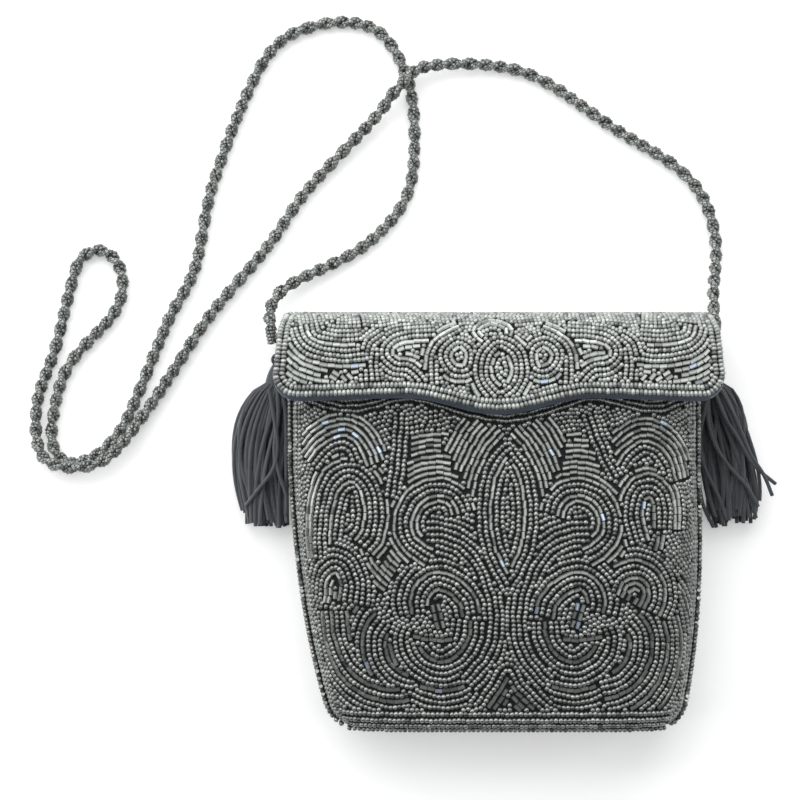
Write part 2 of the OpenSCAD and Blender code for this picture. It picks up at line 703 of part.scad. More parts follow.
module gusset_left() { gusset(-1); }
module gusset_right() { gusset(1); }
module strap_tab_left() { strap_tab(-1); }
module strap_tab_right() { strap_tab(1); }
module strap_end_left() { strap_end(-1); }
module strap_end_right() { strap_end(1); }
module tassel_loop_left() { tassel_loop(-1); }
module tassel_loop_right() { tassel_loop(1); }
module tassel_head_left() { tassel_head(-1); }
module tassel_head_right() { tassel_head(1); }
module tassel_neck_left() { tassel_neck(-1); }
module tassel_neck_right() { tassel_neck(1); }
module tassel_skirt_left() { tassel_skirt(-1); }
module tassel_skirt_right() { tassel_skirt(1); }

back_panel();
front_panel();
gusset_left();
gusset_right();
base_panel();
lining();
spine_lining();
mouth_binding();
snap_socket();
snap_socket_washer();
strap_tab_left();
strap_tab_right();
strap_end_left();
strap_end_right();
strap_rope();
flap_top_panel();
flap_top_lining();
flap_front_panel();
flap_front_lining();
snap_stud();
snap_stud_washer();
tassel_loop_left();
tassel_loop_right();
tassel_head_left();
tassel_head_right();
tassel_neck_left();
tassel_neck_right();
tassel_skirt_left();
tassel_skirt_right();
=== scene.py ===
# Beaded evening bag lying on its back, with its rope strap laid out round it and a tassel at each side.
# Lengths are typed in millimetres and turned into metres as each mesh is made.
import math
import random

import bmesh
import bpy
import numpy as np
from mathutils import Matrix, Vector


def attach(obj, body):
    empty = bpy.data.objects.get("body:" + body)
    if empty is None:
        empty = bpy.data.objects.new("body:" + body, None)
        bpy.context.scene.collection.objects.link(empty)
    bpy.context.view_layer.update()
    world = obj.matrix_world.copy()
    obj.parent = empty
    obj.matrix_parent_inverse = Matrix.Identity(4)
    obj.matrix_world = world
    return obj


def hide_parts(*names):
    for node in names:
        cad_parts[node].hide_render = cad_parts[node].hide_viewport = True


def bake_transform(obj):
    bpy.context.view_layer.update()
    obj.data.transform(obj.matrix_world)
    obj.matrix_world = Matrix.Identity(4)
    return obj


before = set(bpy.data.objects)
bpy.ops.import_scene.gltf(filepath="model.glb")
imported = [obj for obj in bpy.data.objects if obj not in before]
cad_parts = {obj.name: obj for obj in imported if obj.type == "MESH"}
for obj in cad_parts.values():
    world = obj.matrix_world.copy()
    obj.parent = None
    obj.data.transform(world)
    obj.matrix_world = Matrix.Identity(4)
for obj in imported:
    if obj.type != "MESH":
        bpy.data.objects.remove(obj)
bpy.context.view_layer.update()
mm = 0.001
random.seed(11)
print("frame loaded,", len(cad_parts), "nodes")


# camera: straight above, a little left of the bag's middle so that the whole strap is in view
view = {
    "middle": (-34.85, 43.1),  # what the middle of the picture looks at on the table
    "height": 900,
    "frameWidth": 296,  # width of the table that the picture takes in
    "frameUnits": 800,  # the same width in the picture's own units
}


def addCamera():
    x, y = view["middle"]
    bpy.ops.object.camera_add(location=(x * mm, y * mm, view["height"] * mm), rotation=(0, 0, 0))
    camera = bpy.context.object
    camera.data.sensor_width = 36
    camera.data.lens = camera.data.sensor_width * view["height"] / view["frameWidth"]
    camera.data.clip_start = 0.05
    camera.data.clip_end = 20
    camera.data.dof.use_dof = False
    bpy.context.scene.camera = camera


addCamera()
print("camera set")


# small helpers
def deselectAll():
    if bpy.context.object and bpy.context.object.mode != "OBJECT":
        bpy.ops.object.mode_set(mode="OBJECT")
    bpy.ops.object.select_all(action="DESELECT")


def pick(obj):
    deselectAll()
    obj.select_set(True)
    bpy.context.view_layer.objects.active = obj


def bakePlace(obj):
    # put the object's place into its mesh
    pick(obj)
    bpy.ops.object.transform_apply(location=True, rotation=True, scale=True)


def applyModifiers(obj):
    pick(obj)
    for modifier in list(obj.modifiers):
        bpy.ops.object.modifier_apply(modifier=modifier.name)


def smooth(obj, angle=40):
    pick(obj)
    bpy.ops.object.shade_smooth_by_angle(angle=math.radians(angle))


def giveMaterial(obj, material):
    obj.data.materials.clear()
    obj.data.materials.append(material)


def joinAll(parts, name):
    deselectAll()
    for part in parts:
        part.select_set(True)
    bpy.context.view_layer.objects.active = parts[0]
    if len(parts) > 1:
        bpy.ops.object.join()
    parts[0].name = name
    return parts[0]


def wave(x, y, z=0.0):
    # slow, repeatable unevenness between -1 and 1 for cloth and hand sewing
    a = math.sin(0.31 * x + 1.7 * math.sin(0.13 * y + 0.4) + 0.21 * z)
    b = math.sin(0.27 * y - 1.3 * math.sin(0.17 * x + 1.1) + 0.33 * z)
    return 0.5 * (a + b)


# materials
bandScale = 0.314  # scale of a wave texture whose bands lie one metre apart


def newMaterial(name):
    material = bpy.data.materials.new(name)
    material.use_nodes = True
    return material, material.node_tree, material.node_tree.nodes["Principled BSDF"]


def addNode(tree, kind, **values):
    node = tree.nodes.new(kind)
    for key, value in values.items():
        if key in node.inputs:
            node.inputs[key].default_value = value
        else:
            setattr(node, key, value)
    return node


def paint(tree, shader, values):
    # numbers and colours are set on the shader's own sockets, and anything else is linked to them
    for name, value in values.items():
        if isinstance(value, bpy.types.NodeSocket):
            tree.links.new(value, shader.inputs[name])
        else:
            shader.inputs[name].default_value = value


def shade(colour, factor):
    return tuple(min(1, factor * c) for c in colour)


def ramp(tree, value, stops):
    # colour by a value, from stops of (value, colour)
    node = addNode(tree, "ShaderNodeValToRGB")
    elements = node.color_ramp.elements
    elements[0].position, elements[0].color = stops[0][0], (*stops[0][1], 1)
    elements[1].position, elements[1].color = stops[-1][0], (*stops[-1][1], 1)
    for position, colour in stops[1:-1]:
        element = elements.new(position)
        element.color = (*colour, 1)
    tree.links.new(value, node.inputs["Fac"])
    return node.outputs["Color"]


def spread(tree, value, low, high):
    # a value from 0 to 1 becomes one from low to high
    node = addNode(tree, "ShaderNodeMapRange", **{"To Min": low, "To Max": high})
    tree.links.new(value, node.inputs["Value"])
    return node.outputs["Result"]


def multiply(tree, colour, grey):
    # sockets by number, since the node has several of each name
    mixed = addNode(tree, "ShaderNodeMix", data_type="RGBA", blend_type="MULTIPLY")
    mixed.inputs[0].default_value = 1
    tree.links.new(colour, mixed.inputs[6])
    tree.links.new(grey, mixed.inputs[7])
    return mixed.outputs[2]


def objectTexture(tree, kind, **values):
    texture = addNode(tree, kind, **values)
    place = addNode(tree, "ShaderNodeTexCoord")
    tree.links.new(place.outputs["Object"], texture.inputs["Vector"])
    return texture.outputs["Fac"]


def clouds(tree, scale, detail):
    return objectTexture(tree, "ShaderNodeTexNoise", Scale=scale, Detail=detail)


def threadBands(tree, direction, size, distortion):
    # one band for each thread, size in millimetres
    return objectTexture(tree, "ShaderNodeTexWave", wave_type="BANDS", bands_direction=direction,
                         Scale=bandScale / (size * mm), Distortion=distortion)


def bump(tree, height, strength, distance, under=None):
    node = addNode(tree, "ShaderNodeBump", Strength=strength, Distance=distance)
    tree.links.new(height, node.inputs["Height"])
    if under:
        tree.links.new(under, node.inputs["Normal"])
    return node.outputs["Normal"]


gunmetal = {
    "dark": (0.1, 0.106, 0.106),
    "middle": (0.27, 0.285, 0.275),
    "light": (0.48, 0.51, 0.48),
    "paintedGlintBlue": (0.55, 0.64, 0.76),  # painted glint: a light bluish colour on a few cuts, standing in for their flash of light
}


def makeGunmetal(name, lift, metallic, roughness):
    # glass beads with a metallic hematite finish, each with its own tone; lift scales the bead colours, so
    # the flap's lighter copy carries painted light and the body's darker copy carries painted shade
    material, tree, shader = newMaterial(name)
    tone = addNode(tree, "ShaderNodeAttribute", attribute_name="tone").outputs["Fac"]
    dark, middle, light = [shade(gunmetal[key], lift) for key in ("dark", "middle", "light")]
    colour = ramp(tree, tone, [(0.0, dark), (0.3, middle), (0.93, light), (0.97, gunmetal["paintedGlintBlue"])])
    grime = clouds(tree, 260.0, 3.0)
    paint(tree, shader, {
        "Base Color": multiply(tree, colour, spread(tree, grime, 0.7, 1.15)),
        "Roughness": spread(tree, grime, roughness - 0.06, roughness + 0.12),
        "Metallic": metallic,
    })
    return material


def makeWovenCloth(name, colour, roughness, thread, sheen):
    # plain weave from two crossed waves
    material, tree, shader = newMaterial(name)
    weave = addNode(tree, "ShaderNodeMath", operation="ADD")
    for socket, direction in enumerate(("X", "Y")):
        tree.links.new(threadBands(tree, direction, thread, 0.6), weave.inputs[socket])
    paint(tree, shader, {
        "Base Color": ramp(tree, clouds(tree, 60.0, 4.0),
                           [(0.3, shade(colour, 0.7)), (0.7, shade(colour, 1.25))]),
        "Normal": bump(tree, weave.outputs["Value"], 0.35, 0.0001),
        "Roughness": roughness,
        "Sheen Weight": sheen,
    })
    return material


def makeSatin(name, colour):
    # smooth silk face: fine threads one way, soft shine and a slight crumple; the colour follows the
    # crumple's bump, lighter on its rises and darker in its dips, as painted sheen and shade
    material, tree, shader = newMaterial(name)
    crumple = clouds(tree, 45.0, 3.0)
    fine = bump(tree, threadBands(tree, "X", 0.18, 1.2), 0.12, 0.00005)
    paint(tree, shader, {
        # painted sheen and shade: lighter where the crumple rises, darker where it dips
        "Base Color": ramp(tree, crumple, [(0.3, shade(colour, 0.75)), (0.7, shade(colour, 1.25))]),
        "Normal": bump(tree, crumple, 0.25, 0.0012, fine),
        "Roughness": 0.38,
        "Sheen Weight": 0.35,
        "Anisotropic": 0.4,
    })
    return material


def makeThread(name, colour, turn):
    # wound or corded thread, ribbed along the bag, turn in millimetres
    material, tree, shader = newMaterial(name)
    paint(tree, shader, {
        "Base Color": ramp(tree, clouds(tree, 300.0, 3.0),
                           [(0.25, shade(colour, 0.6)), (0.75, shade(colour, 1.4))]),
        "Normal": bump(tree, threadBands(tree, "Y", turn, 1.0), 0.5, 0.0002),
        "Roughness": 0.7,
        "Sheen Weight": 0.3,
    })
    return material


def makeCordMaterial(name, colour):
    # matt rayon cord: each strand has its own tone and a twist that follows its length; the twist is a bump,
    # and it also darkens the colour in its grooves as painted shade
    material, tree, shader = newMaterial(name)
    run = addNode(tree, "ShaderNodeUVMap")
    twistAndGrooveShade = addNode(tree, "ShaderNodeTexWave", wave_type="BANDS", bands_direction="DIAGONAL", Scale=3.0)
    tree.links.new(run.outputs["UV"], twistAndGrooveShade.inputs["Vector"])
    tone = addNode(tree, "ShaderNodeAttribute", attribute_name="tone").outputs["Fac"]
    colour = ramp(tree, tone, [(0.0, shade(colour, 0.6)), (1.0, shade(colour, 1.5))])
    paint(tree, shader, {
        # painted shade: the colour is darkened in the twist's grooves
        "Base Color": multiply(tree, colour, spread(tree, twistAndGrooveShade.outputs["Fac"], 0.6, 1.1)),
        "Normal": bump(tree, twistAndGrooveShade.outputs["Fac"], 0.6, 0.0002),
        "Roughness": 0.62,
        "Sheen Weight": 0.35,
    })
    return material


def makeNickel(name):
    material, tree, shader = newMaterial(name)
    wear = clouds(tree, 420.0, 5.0)
    paint(tree, shader, {
        "Base Color": ramp(tree, wear, [(0.35, (0.36, 0.35, 0.33)), (0.6, (0.55, 0.55, 0.54))]),
        "Roughness": spread(tree, wear, 0.22, 0.42),
        "Metallic": 1.0,
    })
    return material


# one kind of bead in copies: the body's colours are darkened as painted shade under the flap, and the flap's
# are lightened as painted light where it faces the lamps
bodyBeadMaterialPaintedShade = makeGunmetal("gunmetalBeadsPaintedShade", 0.78, 0.78, 0.26)
flapBeadMaterialPaintedLight = makeGunmetal("gunmetalFlapBeadsPaintedLight", 1.28, 0.48, 0.38)
ropeBeadMaterial = makeGunmetal("gunmetalRopeBeads", 0.85, 0.5, 0.34)
groundMaterial = makeWovenCloth("blackGround", (0.006, 0.0065, 0.008), 0.95, 0.35, 0.0)
satinMaterial = makeSatin("slateSatin", (0.058, 0.076, 0.104))
tapeMaterial = makeWovenCloth("blackTape", (0.016, 0.017, 0.019), 0.8, 0.5, 0.2)
whippingMaterial = makeThread("blackWhipping", (0.018, 0.019, 0.021), 0.34)
tasselMaterial = makeCordMaterial("rayonCord", (0.051, 0.058, 0.066))
loopMaterial = makeThread("rayonLoop", (0.042, 0.047, 0.052), 0.5)
nickelMaterial = makeNickel("dullNickel")
print("materials made")


# stage: a white table and soft lamps, the main one behind the top of the bag
stage = {
    "tableSize": 4.0,
    "tableWhite": (0.86, 0.86, 0.86),
    "tableLift": 0.3,  # added where the camera or a glossy surface sees the table
    "worldGrey": (0.5, 0.51, 0.52),
    "worldStrength": 0.3,
    "lamps": {  # place, size and power
        "keyLamp": ((-0.25, 1.15, 1.0), (2.4, 1.3), 28),
        "topLamp": ((0.0, 0.3, 1.6), (1.8, 1.2), 8),
        "leftLamp": ((-1.3, 0.1, 0.75), (1.0, 1.0), 8),
        "rightLamp": ((1.3, 0.1, 0.75), (1.0, 1.0), 5),
    },
}


def addTable():
    bpy.ops.mesh.primitive_plane_add(size=stage["tableSize"], location=(0, 0, 0))
    table = bpy.context.object
    table.name = "tableTop"
    material, tree, shader = newMaterial("whiteTable")
    ray = addNode(tree, "ShaderNodeLightPath")
    seen = ray.outputs["Is Camera Ray"]
    for kind in ("Is Glossy Ray", "Is Transmission Ray"):
        either = addNode(tree, "ShaderNodeMath", operation="MAXIMUM")
        tree.links.new(seen, either.inputs[0])
        tree.links.new(ray.outputs[kind], either.inputs[1])
        seen = either.outputs["Value"]
    lift = addNode(tree, "ShaderNodeMath", operation="MULTIPLY")
    tree.links.new(seen, lift.inputs[0])
    lift.inputs[1].default_value = stage["tableLift"]
    paint(tree, shader, {
        "Base Color": (*stage["tableWhite"], 1),
        "Roughness": 0.9,
        "Emission Color": (1, 1, 1, 1),
        "Emission Strength": lift.outputs["Value"],
    })
    giveMaterial(table, material)


def addLamp(name, place, size, power):
    bpy.ops.object.light_add(type="AREA", location=place)
    lamp = bpy.context.object
    lamp.name = name
    lamp.data.shape = "RECTANGLE"
    lamp.data.size, lamp.data.size_y = size
    lamp.data.energy = power
    lamp.rotation_euler = (-Vector(place)).to_track_quat("-Z", "Y").to_euler()


def lightScene():
    world = bpy.data.worlds.new("softRoom")
    bpy.context.scene.world = world
    world.use_nodes = True
    background = world.node_tree.nodes["Background"]
    background.inputs["Color"].default_value = (*stage["worldGrey"], 1)
    background.inputs["Strength"].default_value = stage["worldStrength"]
    for name, (place, size, power) in stage["lamps"].items():
        addLamp(name, place, size, power)
    bpy.context.scene.view_settings.view_transform = "Standard"


addTable()
lightScene()
print("stage and lamps ready")


# strap: where the rope lies, from the left end to the right one
strap = {
    "diameter": 4.6,
    "plies": 2,
    "plyRadius": 1.12,  # from the rope's middle to the middle of a ply
    "turnLength": 11.2,
    "strands": 3,  # in each ply
    "strandRadius": 0.74,
    "strandTurn": 7.5,
    "lead": 8,
    "route": [
        (-81.9, 69, 14), (-82.2, 77, 10.6), (-75.5, 85.5, 5.2), (-49.5, 99, 2.4), (-33.5, 116, 2.3),
        (-29.5, 137, 2.3), (-32, 161, 2.3), (-43.5, 179.5, 2.3), (-65, 181.5, 2.3), (-84.5, 169, 2.3),
        (-103, 125.5, 2.3), (-110.5, 92, 2.3), (-121, 71, 2.3), (-138, 32, 2.3), (-154.5, 19.8, 2.3),
        (-163.3, 28.5, 2.3), (-158, 54, 2.3), (-140.5, 75, 2.3), (-137.2, 86.5, 2.3), (-140, 94.8, 2.3),
        (-146.5, 98.4, 2.3), (-152.8, 94.8, 2.3), (-156.2, 85.5, 2.3), (-161.5, 64, 2.3), (-169, 40, 2.5),
        (-165, 21, 6.3), (-144.5, 20.5, 7.7), (-127, 41, 3.3), (-105.5, 73.5, 2.3), (-83.5, 100, 2.3),
        (-69.5, 120, 2.4), (-44, 147, 4.8), (-36, 157, 7.3), (-24, 166, 5.8), (11, 164, 2.3),
        (45.5, 142.5, 2.3), (66.5, 129.5, 2.3), (77, 117.5, 2.4), (81.5, 102, 2.8), (80, 82, 8.4),
        (79.9, 69, 14),
    ],
}


def smoothCurve(points, steps, closed=False, before=None, after=None):
    # Catmull-Rom curve through the points, as an array
    given = [np.array(p, float) for p in points]
    if closed:
        padded = [given[-1]] + given + [given[0], given[1]]
    else:
        first = given[0] * 2 - given[1] if before is None else np.array(before, float)
        last = given[-1] * 2 - given[-2] if after is None else np.array(after, float)
        padded = [first] + given + [last]
    curve = []
    for i in range(len(padded) - 3):
        a, b, c, d = padded[i:i + 4]
        for j in range(steps):
            t = j / steps
            curve.append(0.5 * (2 * b + (c - a) * t + (2 * a - 5 * b + 4 * c - d) * t * t
                                + (3 * b - a - 3 * c + d) * t ** 3))
    if not closed:
        curve.append(given[-1])
    return np.array(curve)


def runLengths(line):
    return np.concatenate([[0], np.cumsum(np.linalg.norm(np.diff(line, axis=0), axis=1))])


def ropeLine():
    first, last = np.array(strap["route"][0]), np.array(strap["route"][-1])
    lead = np.array([0, strap["lead"], 0])
    line = smoothCurve(strap["route"], 24, before=first - lead, after=last - lead)
    line[:, 2] = np.maximum(line[:, 2], strap["diameter"] / 2)
    return line


# beads: each kind is modelled once, lying along X, and copied along the rows
beadKinds = {
    "seed": {"width": 1.92, "length": 1.46, "pitch": 1.6, "row": 2.1, "sides": 7},
    "fine": {"width": 1.72, "length": 1.3, "pitch": 1.42, "row": 1.86, "sides": 7},
    "large": {"width": 2.25, "length": 1.32, "pitch": 1.47, "row": 2.15, "sides": 8},
    "bugle": {"width": 1.8, "length": 2.55, "pitch": 2.68, "row": 1.94, "sides": 6},
    "wide": {"width": 2.05, "length": 1.5, "pitch": 1.64, "row": 2.5, "sides": 8},
    "rope": {"width": 1.42, "length": 1.16, "pitch": 1.27, "row": 2.0, "sides": 6},
    "plain": {"width": 1.95, "length": 1.45, "pitch": 1.62, "row": 2.2, "sides": 7},
}


def modelBead(kind):
    size = beadKinds[kind]
    deselectAll()
    bpy.ops.mesh.primitive_cylinder_add(vertices=size["sides"], radius=size["width"] / 2 * mm,
                                        depth=size["length"] * mm, end_fill_type="NOTHING",
                                        rotation=(0, math.pi / 2, 0))
    bead = bpy.context.object
    bpy.ops.object.transform_apply(rotation=True)
    mesh = bmesh.new()
    mesh.from_mesh(bead.data)
    rounded = kind != "bugle"
    reach = size["length"] / 2 * mm
    if rounded:  # rings between the ends give the barrel its belly
        lengthwise = [e for e in mesh.edges if abs(e.verts[0].co.x - e.verts[1].co.x) > reach]
        bmesh.ops.subdivide_edges(mesh, edges=lengthwise, cuts=1 if kind == "rope" else 2)
    for vertex in mesh.verts:
        if abs(vertex.co.x) > 0.9 * reach:
            vertex.co.y *= 0.7 if rounded else 0.86
            vertex.co.z *= 0.7 if rounded else 0.86
    ends = [e for e in mesh.edges if e.is_boundary]
    bmesh.ops.holes_fill(mesh, edges=ends, sides=size["sides"])
    bmesh.ops.triangulate(mesh, faces=[f for f in mesh.faces if len(f.verts) > 4])
    bmesh.ops.triangulate(mesh, faces=mesh.faces[:])
    bmesh.ops.recalc_face_normals(mesh, faces=mesh.faces[:])
    mesh.to_mesh(bead.data)
    mesh.free()
    vertices = np.array([v.co for v in bead.data.vertices])
    faces = np.array([p.vertices[:] for p in bead.data.polygons])
    bpy.data.objects.remove(bead)
    return vertices, faces


beadShapes = {kind: modelBead(kind) for kind in beadKinds}


def meshFromArrays(name, vertices, faces, tones=None, material=None):
    mesh = bpy.data.meshes.new(name)
    corners = faces.shape[1]
    mesh.vertices.add(len(vertices))
    mesh.vertices.foreach_set("co", np.asarray(vertices, np.float32).ravel())
    mesh.loops.add(faces.size)
    mesh.loops.foreach_set("vertex_index", faces.ravel().astype(np.int32))
    mesh.polygons.add(len(faces))
    mesh.polygons.foreach_set("loop_start", np.arange(0, faces.size, corners, dtype=np.int32))
    mesh.polygons.foreach_set("loop_total", np.full(len(faces), corners, dtype=np.int32))
    mesh.update(calc_edges=True)
    if tones is not None:
        layer = mesh.attributes.new("tone", "FLOAT", "POINT")
        layer.data.foreach_set("value", np.asarray(tones, np.float32))
    obj = bpy.data.objects.new(name, mesh)
    bpy.context.scene.collection.objects.link(obj)
    if material:
        giveMaterial(obj, material)
    return obj


def stampBeads(name, beads, material, angle=55):
    # beads is a list of (kind, middle, along, up, scale, tone), in millimetres
    vertices, faces, tones = [], [], []
    count = 0
    for kind in beadKinds:
        chosen = [b for b in beads if b[0] == kind]
        if not chosen:
            continue
        shape, shapeFaces = beadShapes[kind]
        middles = np.array([b[1] for b in chosen]) * mm
        along = np.array([b[2] for b in chosen])
        up = np.array([b[3] for b in chosen])
        side = np.cross(up, along)
        scale = np.array([b[4] for b in chosen])
        axes = np.stack([along, side, up], axis=1)
        placed = np.einsum("vk,nkc->nvc", shape, axes) * scale[:, None, None] + middles[:, None, :]
        vertices.append(placed.reshape(-1, 3))
        step = np.arange(len(chosen))[:, None, None] * len(shape) + count
        faces.append((shapeFaces[None] + step).reshape(-1, 3))
        tones.append(np.repeat([b[5] for b in chosen], len(shape)))
        count += len(chosen) * len(shape)
    vertices, faces, tones = [np.concatenate(part) for part in (vertices, faces, tones)]
    obj = meshFromArrays(name, vertices, faces, tones, material)
    smooth(obj, angle)
    return obj


def beadTone(kind):
    # most beads are middling and some dark; bugles are lighter as a painted highlight of their facets
    # catching the overhead light, and a few are given the light bluish painted glint
    tone = min(0.92, max(0.03, random.gauss(0.66 if kind == "bugle" else 0.48, 0.22)))
    if kind == "bugle" and random.random() < 0.018:
        tone = 1.0
    return tone


def unit(v):
    return v / np.linalg.norm(v)


def alongLine(places, run, line):
    # points at distances along a line
    return np.stack([np.interp(places, run, line[:, k]) for k in range(line.shape[1])], axis=1)


def ropeBeads(line, run):
    # two plies wind round each other, and three strings of beads wind the other way in each ply
    size = beadKinds["rope"]
    fine = np.arange(0, run[-1], 0.3)
    centre = alongLine(fine, run, line)
    along = np.gradient(centre, axis=0)
    along /= np.linalg.norm(along, axis=1)[:, None]
    side = np.cross(along, (0, 0, 1))
    side /= np.linalg.norm(side, axis=1)[:, None]
    up = np.cross(side, along)
    uneven = 0.5 * np.sin(0.083 * fine + 1.3) + 0.35 * np.sin(0.21 * fine)
    beads = []
    for ply in range(strap["plies"]):
        turn = 2 * math.pi * (fine / strap["turnLength"] + ply / strap["plies"]) + uneven
        out = np.cos(turn)[:, None] * side + np.sin(turn)[:, None] * up
        around = np.cross(along, out)
        swell = 1 + 0.07 * np.sin(0.37 * fine + 2 * ply)
        for strand in range(strap["strands"]):
            inner = -2 * math.pi * (fine / strap["strandTurn"] - strand / strap["strands"])
            away = np.cos(inner)[:, None] * out + np.sin(inner)[:, None] * around
            path = centre + out * strap["plyRadius"] * swell[:, None] + away * strap["strandRadius"]
            path[:, 2] = np.maximum(path[:, 2], size["width"] / 2)
            pathRun = runLengths(path)
            count = int(pathRun[-1] / size["pitch"])
            places = (np.arange(count) + 0.5) * pathRun[-1] / count
            lays = alongLine(places + 0.4, pathRun, path) - alongLine(places - 0.4, pathRun, path)
            for place, lay in zip(alongLine(places, pathRun, path), lays):
                if np.linalg.norm(lay) < 0.3:
                    continue
                lay = unit(lay + np.array([random.gauss(0, 0.06) for _ in range(3)]))
                top = np.cross(unit(np.cross(lay, (0.3, 0.2, 1))), lay)
                beads.append(("rope", place, lay, top, random.uniform(0.92, 1.08), beadTone("seed")))
    return beads


def buildRope():
    line = ropeLine()
    run = runLengths(line)
    rope = stampBeads("strapRope", ropeBeads(line, run), ropeBeadMaterial, 65)
    core = tubeAlong("strapCore", np.vstack([line[:-1:6], line[-1:]]), 0.8, 6)
    giveMaterial(core, tapeMaterial)
    return joinAll([rope, core], "strapRope"), run[-1]


def turnOutwards(obj, closeEnds=False, pokeEnds=False):
    # faces outwards, and open ends closed, flat or to their middle
    mesh = bmesh.new()
    mesh.from_mesh(obj.data)
    if closeEnds or pokeEnds:
        rims = [e for e in mesh.edges if e.is_boundary]
        ends = bmesh.ops.holes_fill(mesh, edges=rims, sides=0)["faces"]
        if pokeEnds:
            bmesh.ops.poke(mesh, faces=ends)
    bmesh.ops.recalc_face_normals(mesh, faces=mesh.faces[:])
    mesh.to_mesh(obj.data)
    mesh.free()


def tubeAlong(name, line, radius, sides):
    # plain tube through points in millimetres, with a UV that runs round and along it
    line = np.asarray(line, float)
    run = runLengths(line) / 3
    rings = []
    for i, point in enumerate(line):
        along = unit(line[min(i + 1, len(line) - 1)] - line[max(i - 1, 0)])
        side = unit(np.cross(along, (0, 0, 1)) + (1e-6, 0, 0))
        up = np.cross(side, along)
        r = radius[i] if hasattr(radius, "__len__") else radius
        rings.append([point + r * (math.cos(a) * side - math.sin(a) * up)
                      for a in np.linspace(0, 2 * math.pi, sides, endpoint=False)])
    faces, uvs = [], []
    for i in range(len(line) - 1):
        for k in range(sides):
            n = (k + 1) % sides
            faces.append((i * sides + k, i * sides + n, (i + 1) * sides + n, (i + 1) * sides + k))
            left, right = k / sides, (k + 1) / sides
            uvs += [left, run[i], right, run[i], right, run[i + 1], left, run[i + 1]]
    obj = meshFromArrays(name, np.array(rings).reshape(-1, 3) * mm, np.array(faces))
    obj.data.uv_layers.new(name="UVMap").data.foreach_set("uv", uvs)
    turnOutwards(obj, closeEnds=True)
    smooth(obj, 60)
    return obj


rope, ropeLength = buildRope()
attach(rope, "root")
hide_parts("strap_rope")
ropePath = [tuple(p * mm) for p in np.vstack([ropeLine()[:-1:6], ropeLine()[-1:]])]
print("strap laid, %.0f mm" % ropeLength)


# shape of the bag's outside, in millimetres
bag = {
    "height": 149.2, "width": 145, "taper": 11, "taperFromY": 30, "lean": 7.2, "leanUntilY": 20,
    "mouthDepth": 39.5, "baseDepth": 38, "belly": 6, "bellyBelowMouth": 31, "seamZ": 26,
    "wall": 3.4, "cornerR": 9, "frontRoll": 5, "spineR": 10.5, "mouthDrop": 10.6, "hingeDrop": 1.4,
    "crownPower": 2.2, "sidePower": 5, "backPower": 8,  # how square the crown, its sides and the back are
    "clothInset": 1.35,  # the black ground lies this far under the tops of the beads
}
crestY = bag["height"] / 2
baseY = -crestY
mouthY = crestY - bag["mouthDrop"]
bellyY = mouthY - bag["bellyBelowMouth"]
hingeY = crestY - bag["hingeDrop"]


def cornerCut(y, radius):
    up = min(radius, max(0, y - baseY))
    return radius - math.sqrt(radius ** 2 - (radius - up) ** 2)


def halfWidth(y):
    share = max(0, bag["taperFromY"] - y) / (bag["taperFromY"] - baseY)
    return bag["width"] / 2 - bag["taper"] * share ** 2.6 - cornerCut(y, bag["cornerR"])


def leanX(y):
    return -bag["lean"] * min(y, bag["leanUntilY"]) / bag["height"]


def frontDepth(y):
    rise = min(1, max(0, (y - baseY) / (bellyY - baseY)))
    flat = bag["baseDepth"] + (bag["mouthDepth"] - bag["baseDepth"]) * rise
    return flat + bag["belly"] * math.sin(math.pi * rise) ** 1.3 - cornerCut(y, bag["frontRoll"])


crownAngles = np.linspace(0, math.pi / 2, 61)
crownAcross = np.sin(crownAngles) ** (2 / bag["sidePower"])
crownUp = np.cos(crownAngles) ** (2 / bag["crownPower"])
crownCache = {}


def crownAt(y, inset):
    # half of the crowned front at a height: distance along it, across and up
    key = (round(y, 2), inset)
    if key not in crownCache:
        x = (halfWidth(y) - inset) * crownAcross
        z = bag["seamZ"] + (frontDepth(y) - inset - bag["seamZ"]) * crownUp
        crownCache[key] = (np.concatenate([[0], np.cumsum(np.hypot(np.diff(x), np.diff(z)))]), x, z)
    return crownCache[key]


def frontPoint(s, y, inset=0.0):
    # s runs along the crowned surface from the bag's middle line
    run, x, z = crownAt(y, inset)
    side = 1 if s >= 0 else -1
    return np.array([leanX(y) + side * np.interp(abs(s), run, x), y, np.interp(abs(s), run, z)])


def frontReach(y):
    return crownAt(y, 0.0)[0][-1]


# rows of beads
beadLetters = {"s": "seed", "f": "fine", "w": "wide", "b": "bugle", "l": "large", "p": "plain"}


